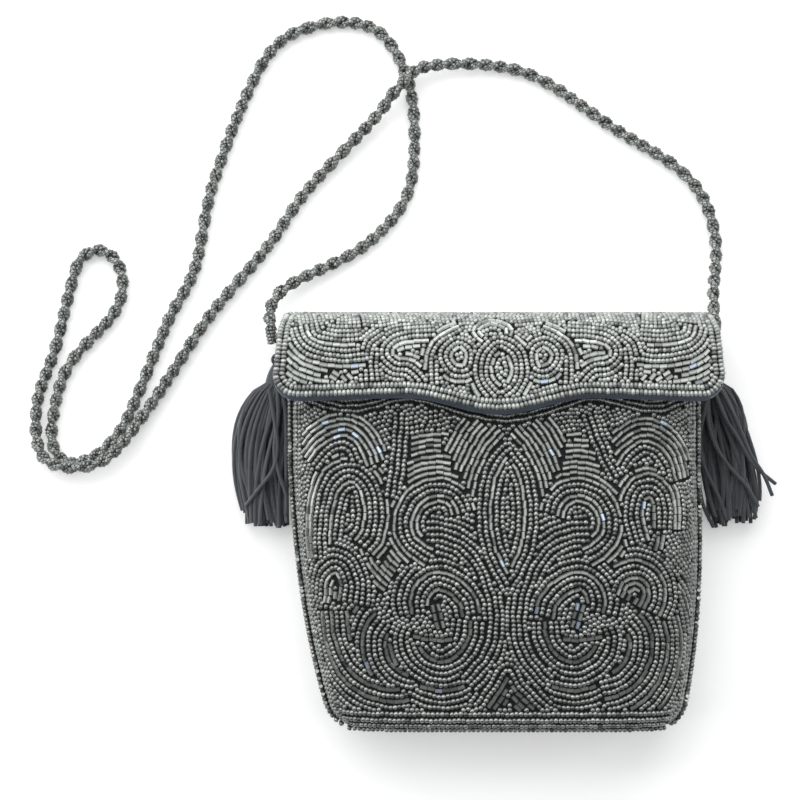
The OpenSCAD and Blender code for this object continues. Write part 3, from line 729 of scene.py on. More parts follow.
class Beadwork:
    def __init__(self, surface, inside, waviness=0.12):
        self.surface = surface  # gives the outer point for pattern coordinates u and v
        self.inside = inside
        self.waviness = waviness
        self.beads = []
        self.cells = {}
        self.cellSize = 2.0

    def nearest(self, u, v):
        best = 9.0  # squared distance, beyond the reach of the cells looked at
        cu, cv = int(u // self.cellSize), int(v // self.cellSize)
        for i in (cu - 1, cu, cu + 1):
            for j in (cv - 1, cv, cv + 1):
                for a, b in self.cells.get((i, j), ()):
                    gap = (a - u) ** 2 + (b - v) ** 2
                    if gap < best:
                        best = gap
        return math.sqrt(best)

    def mark(self, points):
        for u, v in points:
            self.cells.setdefault((int(u // self.cellSize), int(v // self.cellSize)), []).append((u, v))

    def samples(self, kind, u, v, du, dv):
        if kind == "bugle":
            reach = 0.36 * beadKinds[kind]["length"]
            return [(u - reach * du, v - reach * dv), (u, v), (u + reach * du, v + reach * dv)]
        return [(u, v)]

    def addBead(self, kind, u, v, du, dv, lift=0.0):
        step = 0.25
        middle = self.surface(u, v)
        across = self.surface(u + step, v) - self.surface(u - step, v)
        upward = self.surface(u, v + step) - self.surface(u, v - step)
        normal = unit(np.cross(across, upward))
        along = across * du + upward * dv
        along = unit(along - normal * np.dot(along, normal))
        tilt = random.gauss(0, 0.08)
        along = unit(along + tilt * np.cross(normal, along) + random.gauss(0, 0.04) * normal)
        normal = unit(normal - along * np.dot(along, normal))
        sink = beadKinds[kind]["width"] / 2 - lift
        scale = random.uniform(0.95, 1.05)
        self.beads.append((kind, middle - normal * sink, along, normal, scale, beadTone(kind)))

    def layRow(self, kind, line, spacing):
        # beads along a line of pattern coordinates, where they fit between those already sewn
        run = runLengths(line)
        pitch = beadKinds[kind]["pitch"]
        count = int(run[-1] / pitch + 0.3)
        if count < 1:
            return
        laid = []
        for i in range(count):
            s = (i + 0.5) * run[-1] / count
            u, v = np.interp(s, run, line[:, 0]), np.interp(s, run, line[:, 1])
            behind, ahead = s - 0.3, s + 0.3
            du = np.interp(ahead, run, line[:, 0]) - np.interp(behind, run, line[:, 0])
            dv = np.interp(ahead, run, line[:, 1]) - np.interp(behind, run, line[:, 1])
            length = math.hypot(du, dv)
            if length < 1e-6:
                continue
            du, dv = du / length, dv / length
            wobble = self.waviness * wave(3 * u, 3 * v)
            u, v = u - dv * wobble, v + du * wobble
            points = self.samples(kind, u, v, du, dv)
            if not all(self.inside(a, b) for a, b in points):
                continue
            if min(self.nearest(a, b) for a, b in points) < spacing:
                continue
            self.addBead(kind, u, v, du, dv)
            laid += points
        self.mark(laid)

    def offsetRuns(self, base, distance, closed):
        # the line at a distance from a base line, cut where it would come nearer to it
        ahead = np.roll(base, -1, axis=0) if closed else np.vstack([base[1:], 2 * base[-1:] - base[-2:-1]])
        behind = np.roll(base, 1, axis=0) if closed else np.vstack([2 * base[:1] - base[1:2], base[:-1]])
        tangent = ahead - behind
        tangent /= np.linalg.norm(tangent, axis=1)[:, None] + 1e-9
        shifted = base + distance * np.stack([-tangent[:, 1], tangent[:, 0]], axis=1)
        gap = np.linalg.norm(shifted[:, None, :] - base[None, :, :], axis=2).min(axis=1)
        keep = gap > abs(distance) - 0.12
        if closed:
            shifted, keep = np.vstack([shifted, shifted[:1]]), np.append(keep, keep[0])
            if not keep.all():
                start = int(np.argmin(keep))
                shifted, keep = np.roll(shifted, -start, axis=0), np.roll(keep, -start)
        runs, current = [], []
        for point, kept in zip(shifted, keep):
            if kept:
                current.append(point)
            elif current:
                runs.append(current)
                current = []
        if current:
            runs.append(current)
        return [np.array(r) for r in runs if len(r) > 3]

    def growMotifs(self, motifs, spacing=1.52):
        # each motif adds one row in turn, so that neighbours meet half way as hand-sewn ones do;
        # side is 1 for rows to the left of the line and -1 for rows to its right
        prepared = []
        for motif in motifs:
            base = smoothCurve(motif["points"], 12, motif.get("closed", False))
            run = runLengths(base)
            fine = np.arange(0, run[-1], 0.3)
            prepared.append([motif, alongLine(fine, run, base), motif.get("start", 0.0)])
        for turn in range(max(len(m["rows"]) for m in motifs)):
            for entry in prepared:
                motif, base, distance = entry
                if turn >= len(motif["rows"]):
                    continue
                kind = beadLetters[motif["rows"][turn]]
                half = beadKinds[kind]["row"] / 2
                if turn or motif.get("start") is not None:
                    distance += half
                if distance or motif["side"] > 0:
                    for line in self.offsetRuns(base, motif["side"] * distance, motif.get("closed", False)):
                        self.layRow(kind, line, spacing)
                entry[2] = distance + half

    def fillGaps(self, box, kind="seed", spacing=1.5, step=0.35):
        # loose beads where no row reached
        low, high = box
        filled = 0
        for v in np.arange(low[1], high[1], step):
            for u in np.arange(low[0], high[0], step):
                if self.nearest(u, v) > spacing and self.inside(u, v):
                    angle = 2 * wave(0.6 * u, 0.6 * v)
                    self.addBead(kind, u, v, math.cos(angle), math.sin(angle))
                    self.mark([(u, v)])
                    filled += 1
        return filled


def rowsEachSide(line, left, right, closed, start):
    # rows to the left and to the right, as seen walking along the line
    return [{"points": line, "closed": closed, "rows": left, "side": 1},
            {"points": line, "closed": closed, "rows": right, "side": -1, "start": start}]


def mirrored(points, middle):
    return [(2 * middle - x, y) for x, y in points][::-1]


def alongFront(points):
    # from places across the picture to distances along the crowned front
    result = []
    for x, y in points:
        run, across, _ = crownAt(y, 0.0)
        offset = x - leanX(y)
        reach = np.interp(abs(offset), across, run)
        result.append((math.copysign(reach, offset), y))
    return result


def onSheet(points, height):
    # from places in the picture to millimetres at a height above the table
    scale = view["frameWidth"] / view["frameUnits"] * (1 - height / view["height"])
    half = view["frameUnits"] / 2
    midX, midY = view["middle"]
    return [(midX + scale * (x - half), midY - scale * (y - half)) for x, y in points]


# front, in the picture's own units: an almond and stem in the middle, a scroll, leaf and ring beside
# it, arches towards the sides; each has its line, then the rows to the left and right of the line
frontPattern = {
    "middle": 3.15, "height": 43,
    "almond": ([(508, 443), (495, 455), (486, 470), (481, 490), (479, 510), (480, 530), (484, 550),
                (491, 567), (500, 583), (508, 595)], "ssbssb", ""),
    "centre": {
        "fan": ([(511, 433), (524, 447), (533, 463), (540, 480), (543, 497)], "bbbbbbbb", ""),
        "scroll": ([(546, 512), (550, 500), (560, 489), (575, 484), (592, 487), (606, 497), (614, 512),
                    (616, 528), (611, 542), (600, 553), (588, 560)], "sbbbbbbbbb", "sbbssbss"),
        "leaf": ([(590, 540), (574, 541), (558, 547), (547, 556), (538, 569), (532, 584), (527, 600),
                  (525, 620), (527, 640), (533, 655), (543, 668), (554, 680)], "sss", "ssssss"),
        "ringTop": ([(530, 612), (535, 595), (547, 580), (562, 570), (578, 566), (594, 571), (606, 584),
                     (611, 600), (609, 615)], "sss", "bssbs"),
        "ringBowl": ([(533, 622), (535, 640), (543, 657), (557, 670), (575, 675), (592, 669), (604, 657),
                      (609, 642), (605, 628)], "ssbsss", "ssbsss"),
        "core": ([(584, 604), (581, 616), (577, 630)], "b", "b"),
        "dash": ([(563, 640), (580, 641), (603, 637)], "b", ""),
        "bowl": ([(600, 684), (617, 679), (630, 667), (636, 650), (634, 635),
                  (626, 625)], "sbss", "ssbssbssbssbss"),
    },
    "chevron": ([(480, 712), (495, 690), (508, 671), (521, 690), (545, 714)], "sss", "bbbbbb"),
    "left": {
        "pleat": ([(402, 412), (400, 440), (397, 470), (392, 498)], "ss", "s"),
        "archTop": ([(303, 458), (315, 443), (330, 433), (345, 430), (358, 437), (367, 450),
                     (373, 465)], "bbbb", "bss"),
        "archMiddle": ([(314, 560), (313, 535), (316, 505), (324, 480), (338, 467), (355, 465),
                        (370, 475), (379, 492), (382, 515), (378, 538), (368, 552)], "sbb", "ssbssbs"),
        "archLow": ([(310, 600), (312, 575), (322, 560), (337, 556), (350, 565), (357, 585),
                     (355, 605)], "sss", "ssbb"),
        "corner": ([(330, 612), (333, 640), (345, 668), (365, 685), (390, 692),
                    (408, 690)], "bssb", "sbssss"),
    },
    "right": {
        "pleat": ([(590, 412), (598, 435), (608, 458), (618, 478)], "ss", "s"),
        "archTop": ([(612, 462), (625, 446), (645, 435), (665, 442), (678, 458),
                     (684, 480)], "bbbb", "bsssss"),
        "archMiddle": ([(633, 545), (626, 520), (628, 498), (637, 484), (652, 480), (665, 488),
                        (672, 505), (672, 530)], "sbbs", "ssbssb"),
        "archLow": ([(612, 592), (620, 578), (636, 572), (651, 580), (656, 596),
                     (650, 612)], "ssbss", "bbb"),
    },
    "swag": [(294, 400), (320, 412), (345, 417), (370, 415), (392, 408), (410, 405), (435, 411),
             (465, 420), (505, 427), (545, 420), (575, 410), (590, 405), (610, 408), (640, 416),
             (665, 417), (685, 410), (702, 400)],
    "swagRows": "ffffffffffffff", "borderRows": "www",
}


def frontMotifs():
    pattern = frontPattern
    middle = pattern["middle"]
    motifs = []

    def grow(entry, mirror=False, closed=False):
        line = onSheet(entry[0], pattern["height"])
        if closed:
            line += mirrored(line, middle)[1:-1]
        if mirror:
            line = mirrored(line, middle)
        motifs.extend(rowsEachSide(alongFront(line), entry[1], entry[2], closed, 1.1))

    grow(pattern["almond"], closed=True)
    for entry in pattern["centre"].values():
        grow(entry)
        grow(entry, mirror=True)
    grow(pattern["chevron"])
    for side in ("left", "right"):
        for entry in pattern[side].values():
            grow(entry)
    return motifs


# outline of the flap from the front, and its profile from the hinge over the fold to the free edge
flap = {
    "foldWidth": 154.6, "edgeWidth": 159, "thick": 3.2, "lining": 0.8, "foldR": 13.5,
    "topZ": 46.1, "drop": 29.3, "dip": 5.8, "dipHalf": 33, "sag": 1, "cornerR": 8.5, "satinShows": 1.25,
    "topR": 172.0, "hingeZ": 10.7, "foldCut": 2.2, "foldCutLength": 7,
}
foldY = crestY - flap["foldR"]
crestZ = flap["topZ"] - flap["foldR"]
foldEnd = foldY + flap["foldR"] * math.pi / 2
topEnd = foldEnd + crestZ - flap["hingeZ"]


def flapEdgeY(x):
    x = abs(x)
    y = crestY - flap["drop"]
    if x < flap["dipHalf"]:
        return y - flap["dip"] * (1 + math.cos(math.pi * x / flap["dipHalf"])) / 2
    lobe = flap["edgeWidth"] / 2 - flap["cornerR"] - flap["dipHalf"]
    return y - flap["sag"] * (1 - math.cos(math.pi * min(1, (x - flap["dipHalf"]) / lobe))) / 2


flapCornerX = flap["edgeWidth"] / 2 - flap["cornerR"]
flapCornerY = flapEdgeY(flap["edgeWidth"] / 2) + flap["cornerR"]


def flapHalf(v):
    # wider towards the free edge, its corners rounded off at the fold
    share = min(1, max(0, (crestY - v) / (crestY - flapCornerY)))
    straight = flap["foldWidth"] / 2 + (flap["edgeWidth"] - flap["foldWidth"]) / 2 * share
    return straight - flap["foldCut"] * math.exp(-((v - foldEnd) / flap["foldCutLength"]) ** 2)


def flapLowY(x):
    # the lower outline with its rounded corners
    over = abs(x) - flapCornerX
    if over > 0:
        return flapCornerY - math.sqrt(max(0, flap["cornerR"] ** 2 - over ** 2))
    return flapEdgeY(x)


def flapPoint(x, v, inset=0.0):
    # v runs up the front of the flap, round the fold and down its top to the hinge
    if v <= foldY:
        return np.array([x, v, flap["topZ"] - inset])
    if v <= foldEnd:
        angle = (v - foldY) / flap["foldR"]
        reach = flap["foldR"] - inset
        return np.array([x, foldY + reach * math.sin(angle), crestZ + reach * math.cos(angle)])
    angle = (v - foldEnd) / flap["topR"]
    reach = flap["topR"] - inset
    return np.array([x, crestY - flap["topR"] + reach * math.cos(angle), crestZ - reach * math.sin(angle)])


def closedShell(name, outer, inner, material, roundRim=0.0):
    # closed skin of two grids of points, outer and inner, joined round their borders
    rows, columns = outer.shape[:2]
    count = rows * columns
    places = np.arange(count).reshape(rows, columns)
    quads = np.stack([places[:-1, :-1], places[:-1, 1:], places[1:, 1:], places[1:, :-1]], axis=-1)
    quads = quads.reshape(-1, 4)
    border = np.concatenate([places[0, :-1], places[:-1, -1], places[-1, :0:-1], places[:0:-1, 0]])
    flatOuter, flatInner = outer.reshape(-1, 3), inner.reshape(-1, 3)
    r, c = np.divmod(border, columns)
    inward = np.clip(r, 1, rows - 2) * columns + np.clip(c, 1, columns - 2)
    out = flatOuter[border] - flatOuter[inward]
    out /= np.linalg.norm(out, axis=1)[:, None] + 1e-9
    middle = (flatOuter[border] + flatInner[border]) / 2 + roundRim * out
    points = np.concatenate([flatOuter, flatInner, middle])
    ring = np.arange(len(border)) + 2 * count
    following = np.roll(border, -1)
    ringNext = np.roll(ring, -1)
    rims = [np.stack([following, border, ring, ringNext], axis=-1),
            np.stack([ringNext, ring, border + count, following + count], axis=-1)]
    faces = np.concatenate([quads, quads[:, ::-1] + count] + rims)
    obj = meshFromArrays(name, points * mm, faces, material=material)
    turnOutwards(obj)
    smooth(obj, 50)
    return obj


def groundUnder(name, grid):
    # black cloth and stiffener below the beads; grid gives the wall's points at an inset
    return closedShell(name + "Cloth", grid(bag["clothInset"]), grid(bag["wall"]), groundMaterial)


def skinRings(name, rings, material):
    # closed skin through rings of points that run one way, its ends closed to their middle
    rings = np.asarray(rings, float)
    count, sides = rings.shape[:2]
    places = np.arange(count * sides).reshape(count, sides)
    turned = np.roll(places, -1, axis=1)
    quads = np.stack([places[:-1], turned[:-1], turned[1:], places[1:]], axis=-1).reshape(-1, 4)
    obj = meshFromArrays(name, rings.reshape(-1, 3) * mm, quads, material=material)
    turnOutwards(obj, pokeEnds=True)
    smooth(obj, 50)
    return obj


def dress(obj, body, slot, *nodes):
    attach(obj, body)
    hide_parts(*nodes)


def sideWord(side):
    return "left" if side < 0 else "right"


def halves(name, beads, cloth, middle, material):
    # beads left and right of the middle are two pieces, and the cloth goes with the left one
    left = stampBeads(name + "Left", [b for b in beads if b[1][0] < middle], material)
    right = stampBeads(name + "Right", [b for b in beads if b[1][0] >= middle], material)
    return joinAll([left, cloth], name + "Left"), right


def frontInside(s, v):
    return baseY + 0.3 < v < mouthY - 0.7 and abs(s) < frontReach(v) - 0.5


def makeFront():
    pattern = frontPattern
    work = Beadwork(frontPoint, frontInside, 0.22)
    borderIn, lowY = 1.2, baseY + 1.1  # the border's first row, from the side seam and at the bottom
    leftSide = [(borderIn - frontReach(v), v) for v in np.linspace(mouthY, baseY + 2.4, 50)]
    reach = frontReach(lowY) - 2.5
    bottom = [(s, lowY) for s in np.linspace(-reach, reach, 31)]
    border = leftSide + bottom + mirrored(leftSide, 0)
    work.growMotifs([{"points": border, "rows": pattern["borderRows"], "side": 1}])
    swag = alongFront(onSheet(pattern["swag"], pattern["height"]))
    work.growMotifs([{"points": swag, "rows": pattern["swagRows"], "side": 1, "start": 1.2}])
    work.growMotifs(frontMotifs())
    filled = work.fillGaps(((-80, baseY), (80, mouthY)))
    rows = np.linspace(baseY + bag["clothInset"], mouthY, 60)
    shares = np.sin(np.linspace(-math.pi / 2, math.pi / 2, 61))

    def grid(inset):
        return np.array([[frontPoint(share * crownAt(y, inset)[0][-1], y, inset) for share in shares]
                         for y in rows])

    for piece in halves("frontBeads", work.beads, groundUnder("front", grid), 3, bodyBeadMaterialPaintedShade):
        dress(piece, "root", "beadwork", "front_panel")
    print("front sewn,", len(work.beads), "beads,", filled, "of them filling gaps")


makeFront()


def sideFactor(z):
    # how far the side reaches out at a height, rounded in towards the back
    power = bag["backPower"]
    return max(0.0, 1 - ((bag["seamZ"] - z) / bag["seamZ"]) ** power) ** (1 / power)


def makeGusset(side):
    name = "gusset" + sideWord(side).title()

    def surface(u, v, inset=0.0):
        z = abs(u)
        return np.array([leanX(v) + side * (halfWidth(v) * sideFactor(z) - inset), v, z])

    def inside(u, v):
        return 3.9 < abs(u) < bag["seamZ"] - 0.3 and baseY + 0.4 < v < mouthY - 0.7

    work = Beadwork(surface, inside)
    seam = [(-side * (bag["seamZ"] - 1.2), v) for v in np.linspace(baseY, mouthY, 30)]
    work.growMotifs([{"points": seam, "rows": "p" * 10, "side": -side}])
    work.fillGaps(((-27, baseY), (27, mouthY)))
    rows = np.linspace(baseY + bag["clothInset"], mouthY, 50)
    depths = -side * np.linspace(3.5, bag["seamZ"], 12)

    def grid(inset):
        return np.array([[surface(u, v, inset) for u in depths] for v in rows])

    cloth = groundUnder(name, grid)
    beads = stampBeads(name, work.beads, bodyBeadMaterialPaintedShade)
    dress(joinAll([beads, cloth], name), "root", "beadwork", "gusset_" + sideWord(side))


makeGusset(-1)
makeGusset(1)

spineY = hingeY - bag["spineR"]
backShare = sideFactor(bag["wall"])


def backPoint(u, v, inset=0.0):
    # flat on the table, then up round the roll to the hinge
    if v <= spineY:
        return np.array([leanX(v) - u, v, inset])
    angle = (v - spineY) / bag["spineR"]
    reach = bag["spineR"] - inset
    return np.array([leanX(v) - u, spineY + reach * math.sin(angle), bag["spineR"] - reach * math.cos(angle)])


def makeBack():
    end = spineY + bag["spineR"] * math.pi / 2

    def reach(v):
        return backShare * halfWidth(min(v, mouthY))

    def inside(u, v):
        return baseY + 4 < v < end - 0.6 and abs(u) < reach(v) - 0.6

    work = Beadwork(backPoint, inside)
    low = [(u, baseY + 4.9) for u in np.linspace(-70, 70, 30)]
    work.growMotifs([{"points": low, "rows": "p" * 69, "side": 1}])

    def grid(inset):
        return np.array([[backPoint(share * (reach(v) - 0.3), v, inset) for share in np.linspace(-1, 1, 41)]
                         for v in np.linspace(baseY + 3.5, end - 0.1, 70)])

    for piece in halves("backBeads", work.beads, groundUnder("back", grid), 0, bodyBeadMaterialPaintedShade):
        dress(piece, "root", "beadwork", "back_panel")


makeBack()


def makeBase():
    half = halfWidth(baseY) + 3.4
    low = 1.2
    beadsOut = 0.9

    def high(x):
        # stays below the front's lower edge
        s = alongFront([(x, baseY + 1)])[0][0]
        return frontPoint(s, baseY + 1)[2] - 1.7

    def surface(u, v):
        return np.array([u, baseY - beadsOut, v])

    def inside(u, v):
        return abs(u - leanX(baseY)) < half - 0.5 and low < v < high(u)

    work = Beadwork(surface, inside)
    line = [(u, low + 0.9) for u in np.linspace(-60, 66, 30)]
    work.growMotifs([{"points": line, "rows": "p" * 17, "side": 1}])
    across = leanX(baseY) + np.linspace(-half, half, 31)

    def grid(inset):
        return np.array([[(x, baseY + inset, low + (high(x) - low) * share) for x in across]
                         for share in np.linspace(0, 1, 12)])

    cloth = groundUnder("base", grid)
    beads = stampBeads("baseBeads", work.beads, bodyBeadMaterialPaintedShade)
    dress(joinAll([beads, cloth], "baseBeads"), "root", "beadwork", "base_panel")


makeBase()
print("sides, back and base sewn")


# flap: mirrored motifs, and straight rows over the fold
flapPattern = {
    "middle": 0.8, "height": 46, "edgeRows": "ll", "foldRows": "f" * 19, "rowsFromY": 71,
    "almond": ([(500, 341), (488, 349), (482, 361), (481, 372), (484, 383), (491, 392),
                (500, 398)], "ffbf", "fb"),
    "diamond": ([(479, 330), (493, 322), (507, 330), (493, 339)], "bb", "ff"),
    "drop": ([(460, 342), (449, 348), (446, 358), (452, 368), (463, 371), (470, 365),
              (471, 351)], "fbf", "fb"),
    "comb": ([(432, 385), (431, 366), (435, 348), (446, 337), (462, 328)], "fbb", "ff"),
    "leaf": ([(436, 334), (418, 335), (400, 338), (389, 346), (388, 356), (396, 363), (409, 365),
              (419, 372), (427, 382)], "fbbb", "fff"),
    "legs": ([(372, 381), (371, 362), (374, 347), (385, 337), (402, 331)], "fff", "ffbb"),
    "end": ([(290, 327), (294, 339), (301, 349), (313, 356), (331, 360), (348, 361),
             (366, 359)], "fffbffffffffff", "bbbbbbb"),
    "fan": ([(335, 366), (346, 373), (358, 384)], "bb", "bb"),
}


def overFold(points):
    # from heights in the picture to lengths along the flap
    result = []
    for x, y in points:
        if y > foldY:
            y = foldY + flap["foldR"] * math.asin(min(1, (y - foldY) / flap["foldR"]))
        result.append((x, y))
    return result


def flapOutline():
    side = [(-flapHalf(v), v) for v in np.linspace(topEnd, flapCornerY + 0.5, 40)]
    corner = [(-flapCornerX - flap["cornerR"] * math.cos(a), flapCornerY - flap["cornerR"] * math.sin(a))
              for a in np.linspace(0.1, math.pi / 2 - 0.1, 6)]
    edge = [(x, flapEdgeY(x)) for x in np.linspace(-flapCornerX, flapCornerX, 60)]
    left = side + corner
    return left + edge + mirrored(left, 0)


def flapInside(x, v):
    if v > topEnd - 0.7 or abs(x) > flapHalf(v) - 0.5:
        return False
    return v > flapLowY(min(abs(x) + 0.2, flap["edgeWidth"] / 2)) + 0.5


def flapMotifs():
    pattern = flapPattern
    middle = pattern["middle"]
    motifs = []
    for name in ("almond", "diamond", "drop", "comb", "leaf", "legs", "end", "fan"):
        points, left, right = pattern[name]
        line = onSheet(points, pattern["height"])
        if name == "almond":
            lines = [line + mirrored(line, middle)[1:-1]]
        else:
            lines = [line] if name == "diamond" else [line, mirrored(line, middle)]
        for line in lines:
            motifs += rowsEachSide(overFold(line), left, right, name in ("almond", "diamond", "drop"), 1)
    return motifs


def flapGrid(inset, margin):
    # margin moves the lower edge outwards
    result = []
    for share in np.linspace(0, 1, 60):
        row = []
        for c in np.sin(np.linspace(-math.pi / 2, math.pi / 2, 81)):
            low = flapLowY(c * flap["edgeWidth"] / 2) - margin
            v = topEnd - 0.1 + (low - topEnd + 0.1) * share
            reach = flapHalf(v) + min(0, margin)
            row.append(flapPoint(c * reach, v, inset))
        result.append(row)
    return np.array(result)


def makeFlap():
    pattern = flapPattern
    spacing = 1.34  # closer than on the body
    work = Beadwork(flapPoint, flapInside, 0.16)
    work.growMotifs([{"points": flapOutline(), "rows": pattern["edgeRows"], "side": 1, "start": 0}])
    work.growMotifs(flapMotifs(), spacing)
    rows = [(x, pattern["rowsFromY"] + 0.7 * wave(1.6 * x, 0)) for x in np.linspace(-79, 79, 60)]
    work.growMotifs([{"points": rows, "rows": pattern["foldRows"], "side": 1}], spacing)
    filled = work.fillGaps(((-80, flapEdgeY(0)), (80, topEnd)), "fine", 1.36)
    cloth = closedShell("flapCloth", flapGrid(bag["clothInset"], -0.5), flapGrid(flap["thick"], -0.5),
                        groundMaterial)
    pieces = halves("flapBeads", work.beads, cloth, pattern["middle"], flapBeadMaterialPaintedLight)
    under = flap["thick"] + 0.02
    lining = closedShell("flapLining", flapGrid(under, flap["satinShows"]),
                         flapGrid(flap["thick"] + flap["lining"], flap["satinShows"]), satinMaterial, 0.35)
    for piece in pieces:
        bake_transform(piece)
        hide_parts("flap_top_panel", "flap_front_panel")
    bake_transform(lining)
    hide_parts("flap_top_lining", "flap_front_lining")
    print("flap sewn,", len(work.beads), "beads,", filled, "of them filling gaps")


makeFlap()


# satin inside the body: the sack, the strip behind the roll and the piping round the mouth
satin = {
    "gap": 0.4, "thick": 0.8, "wrinkle": 0.22,
    "pipingHalfW": 2.2, "pipingHalfH": 0.82, "pipingIn": 2.4, "pipingUp": 0.9, "bindingHeight": 1.6,
}


def sackRing(y, inset):
    ring = []
    width = halfWidth(y) - inset
    for i in range(72):
        c, s = math.cos(2 * math.pi * i / 72), math.sin(2 * math.pi * i / 72)
        front = s >= 0
        across = 2 / (bag["sidePower"] if front else bag["backPower"])
        up = 2 / (bag["crownPower"] if front else bag["backPower"])
        depth = frontDepth(y) - inset - bag["seamZ"] if front else inset - bag["seamZ"]
        x = width * math.copysign(abs(c) ** across, c)
        ring.append((leanX(y) + x, y, bag["seamZ"] + depth * abs(s) ** up))
    return ring


def makeSack():
    outer = bag["wall"] + satin["gap"]
    low, high = baseY + outer, mouthY - 0.05
    shares = np.linspace(0, 1, 36) ** 1.5
    rings = [sackRing(low + (high - low) * share, outer) for share in shares]
    low += satin["thick"]
    rings += [sackRing(low + (high - low) * share, outer + satin["thick"]) for share in shares[::-1]]
    rings = np.array(rings)
    out = rings - rings.mean(axis=1, keepdims=True)
    out[:, :, 1] = 0
    out /= np.linalg.norm(out, axis=2)[:, :, None] + 1e-9
    crumple = np.array([[wave(0.8 * p[0], 0.8 * p[1], 2.4 * p[2]) for p in ring] for ring in rings])
    crumple[:4] = crumple[-4:] = crumple[34:38] = 0  # flat at the bottom and at the mouth
    rings += out * satin["wrinkle"] * crumple[:, :, None]
    dress(skinRings("satinSack", rings, satinMaterial), "root", "satin", "lining")


def makeSpineStrip():
    reach = bag["spineR"] - bag["wall"] - 0.1
    start = math.asin((satin["bindingHeight"] / 2 + mouthY - spineY) / (reach - satin["thick"]))
    half = backShare * bag["width"] / 2 - bag["wall"] - 1

    def grid(radius):
        rows = []
        for a in np.linspace(start, math.pi / 2, 10):
            y, z = spineY + radius * math.sin(a), bag["spineR"] - radius * math.cos(a)
            rows.append([(leanX(mouthY) + x, y, z) for x in np.linspace(-half, half, 41)])
        return np.array(rows)

    strip = closedShell("satinSpine", grid(reach), grid(reach - satin["thick"]), satinMaterial, 0.2)
    dress(strip, "root", "satin", "spine_lining")


def makePiping():
    # up the left side, over the crowned front and down the right side
    inset = satin["pipingIn"]
    run, x, z = crownAt(mouthY, inset)
    left = [(inset - halfWidth(mouthY), up) for up in (8, 14, 20)]
    left += [(-np.interp(s, run, x), np.interp(s, run, z)) for s in np.linspace(run[-1], 0, 30)]
    line = np.array(left + [(-a, b) for a, b in left[-2::-1]])
    ahead = np.gradient(line, axis=0)
    ahead /= np.linalg.norm(ahead, axis=1)[:, None]
    rings = []
    for (px, pz), (ax, az) in zip(line, ahead):
        ring = []
        for a in np.linspace(0, 2 * math.pi, 12, endpoint=False):
            reach = satin["pipingHalfW"] * math.cos(a)
            y = mouthY + satin["pipingUp"] + satin["pipingHalfH"] * math.sin(a)
            ring.append((leanX(mouthY) + px + az * reach, y, pz - ax * reach))
        rings.append(ring)
    dress(skinRings("satinPiping", rings, satinMaterial), "root", "satin", "mouth_binding")


makeSack()
makeSpineStrip()
makePiping()
print("satin inside the body made")


# tapes, whipped ends and tassels beside the mouth; reaches are measured from the side of the body
fittings = {
    "strapReach": 8.4, "strapEndR": 2.5, "strapEndLength": 5.5, "strapEndY": mouthY - 0.5, "strapZ": 14,
    "tabLowY": mouthY - 5, "tabHighY": mouthY + 3.6, "tabThick": 1.6, "tabLowZ": 3.6, "tabHighZ": 17,
    "tongueThick": 3, "barR": 1.1, "barPastTassel": 1.8, "knobR": 1.45, "threadR": 0.3,
}
# a stray strand is three lists of places: across the tassel, up from its middle and along it
tassel = {
    "reach": 6.4, "z": 6.3, "loopD": 1.4, "loopLength": 5, "headLength": 8, "headCords": 20,
    "neckLength": 3, "neckR": 3.9, "skirtLength": 49.5, "skirtHalfW": 11.4, "skirtHalfT": 6, "bow": 3.9,
    "skirtRise": 4.2,  # the strands hide the neck and the lower half of the head
    "strandR": 0.72, "clear": 2.2,
    "left": {
        "tilt": 4, "bowShare": 1.0, "strands": 104, "wander": 1.0, "ragged": 0.07, "dark": 0.62, "room": 0.05,
        "strays": [((-2, 0, 2.5, 1.5, -3.5, -7.5), (5.6, 6.2, 6.4, 6.4, 6.3, 5.2), (2, 10, 22, 31, 39, 45)),
                   ((1, 2, 1.5, 4, 7, 8.6), (5.2, 6, 6.3, 6.3, 6, 5), (2, 12, 24, 33, 40, 47)),
                   ((2, 4.5, 7, 8.5, 10, 11.5), (4.6, 5, 5.2, 5, 4.5, 4), (1, 10, 22, 32, 40, 50))],
    },
    # the right tassel's lower tone (dark 0.2 against the left's 0.62) is painted shade from the flap; both
    # tassels are the same cord
    "right": {
        "tilt": 9.5, "bowShare": 0.4, "strands": 84, "wander": 2.1, "ragged": 0.13, "dark": 0.2, "room": 0.13,
        "strays": [((-2, -4, -3, 1, 6, 9), (5, 6, 6.4, 6.4, 6, 5), (2, 12, 22, 31, 39, 47)),
                   ((0, 2, 6, 9, 12.5, 17), (5.2, 6.2, 6, 5, 4, 2.5), (2, 12, 22, 30, 35, 40)),
                   ((2, 5, 7.5, 9.5, 13, 15), (4.6, 5, 5.2, 5, 4.5, 3), (1, 10, 20, 28, 36, 44)),
                   ((-3, -6, -9, -11, -10.5, -8), (4, 4, 3.6, 3, 2.5, 2), (1, 12, 22, 33, 43, 52)),
                   ((-1, -5, -8.5, -8, -5, -3), (5, 6, 5.6, 5.6, 5, 4), (1, 10, 20, 30, 40, 50))],
    },
}
barY = mouthY + 1
loopBendR = fittings["barR"] + 0.3 + tassel["loopD"] / 2
pivotY = barY - tassel["loopLength"] - loopBendR
eyeR = tassel["loopD"] + 0.4
headFrom = eyeR + 0.4
neckFrom = headFrom + tassel["headLength"]
neckTo = neckFrom + tassel["neckLength"]
skirtFrom = neckTo - tassel["skirtRise"]


def besideX(side, reach):
    return leanX(mouthY) + side * (bag["width"] / 2 + reach)


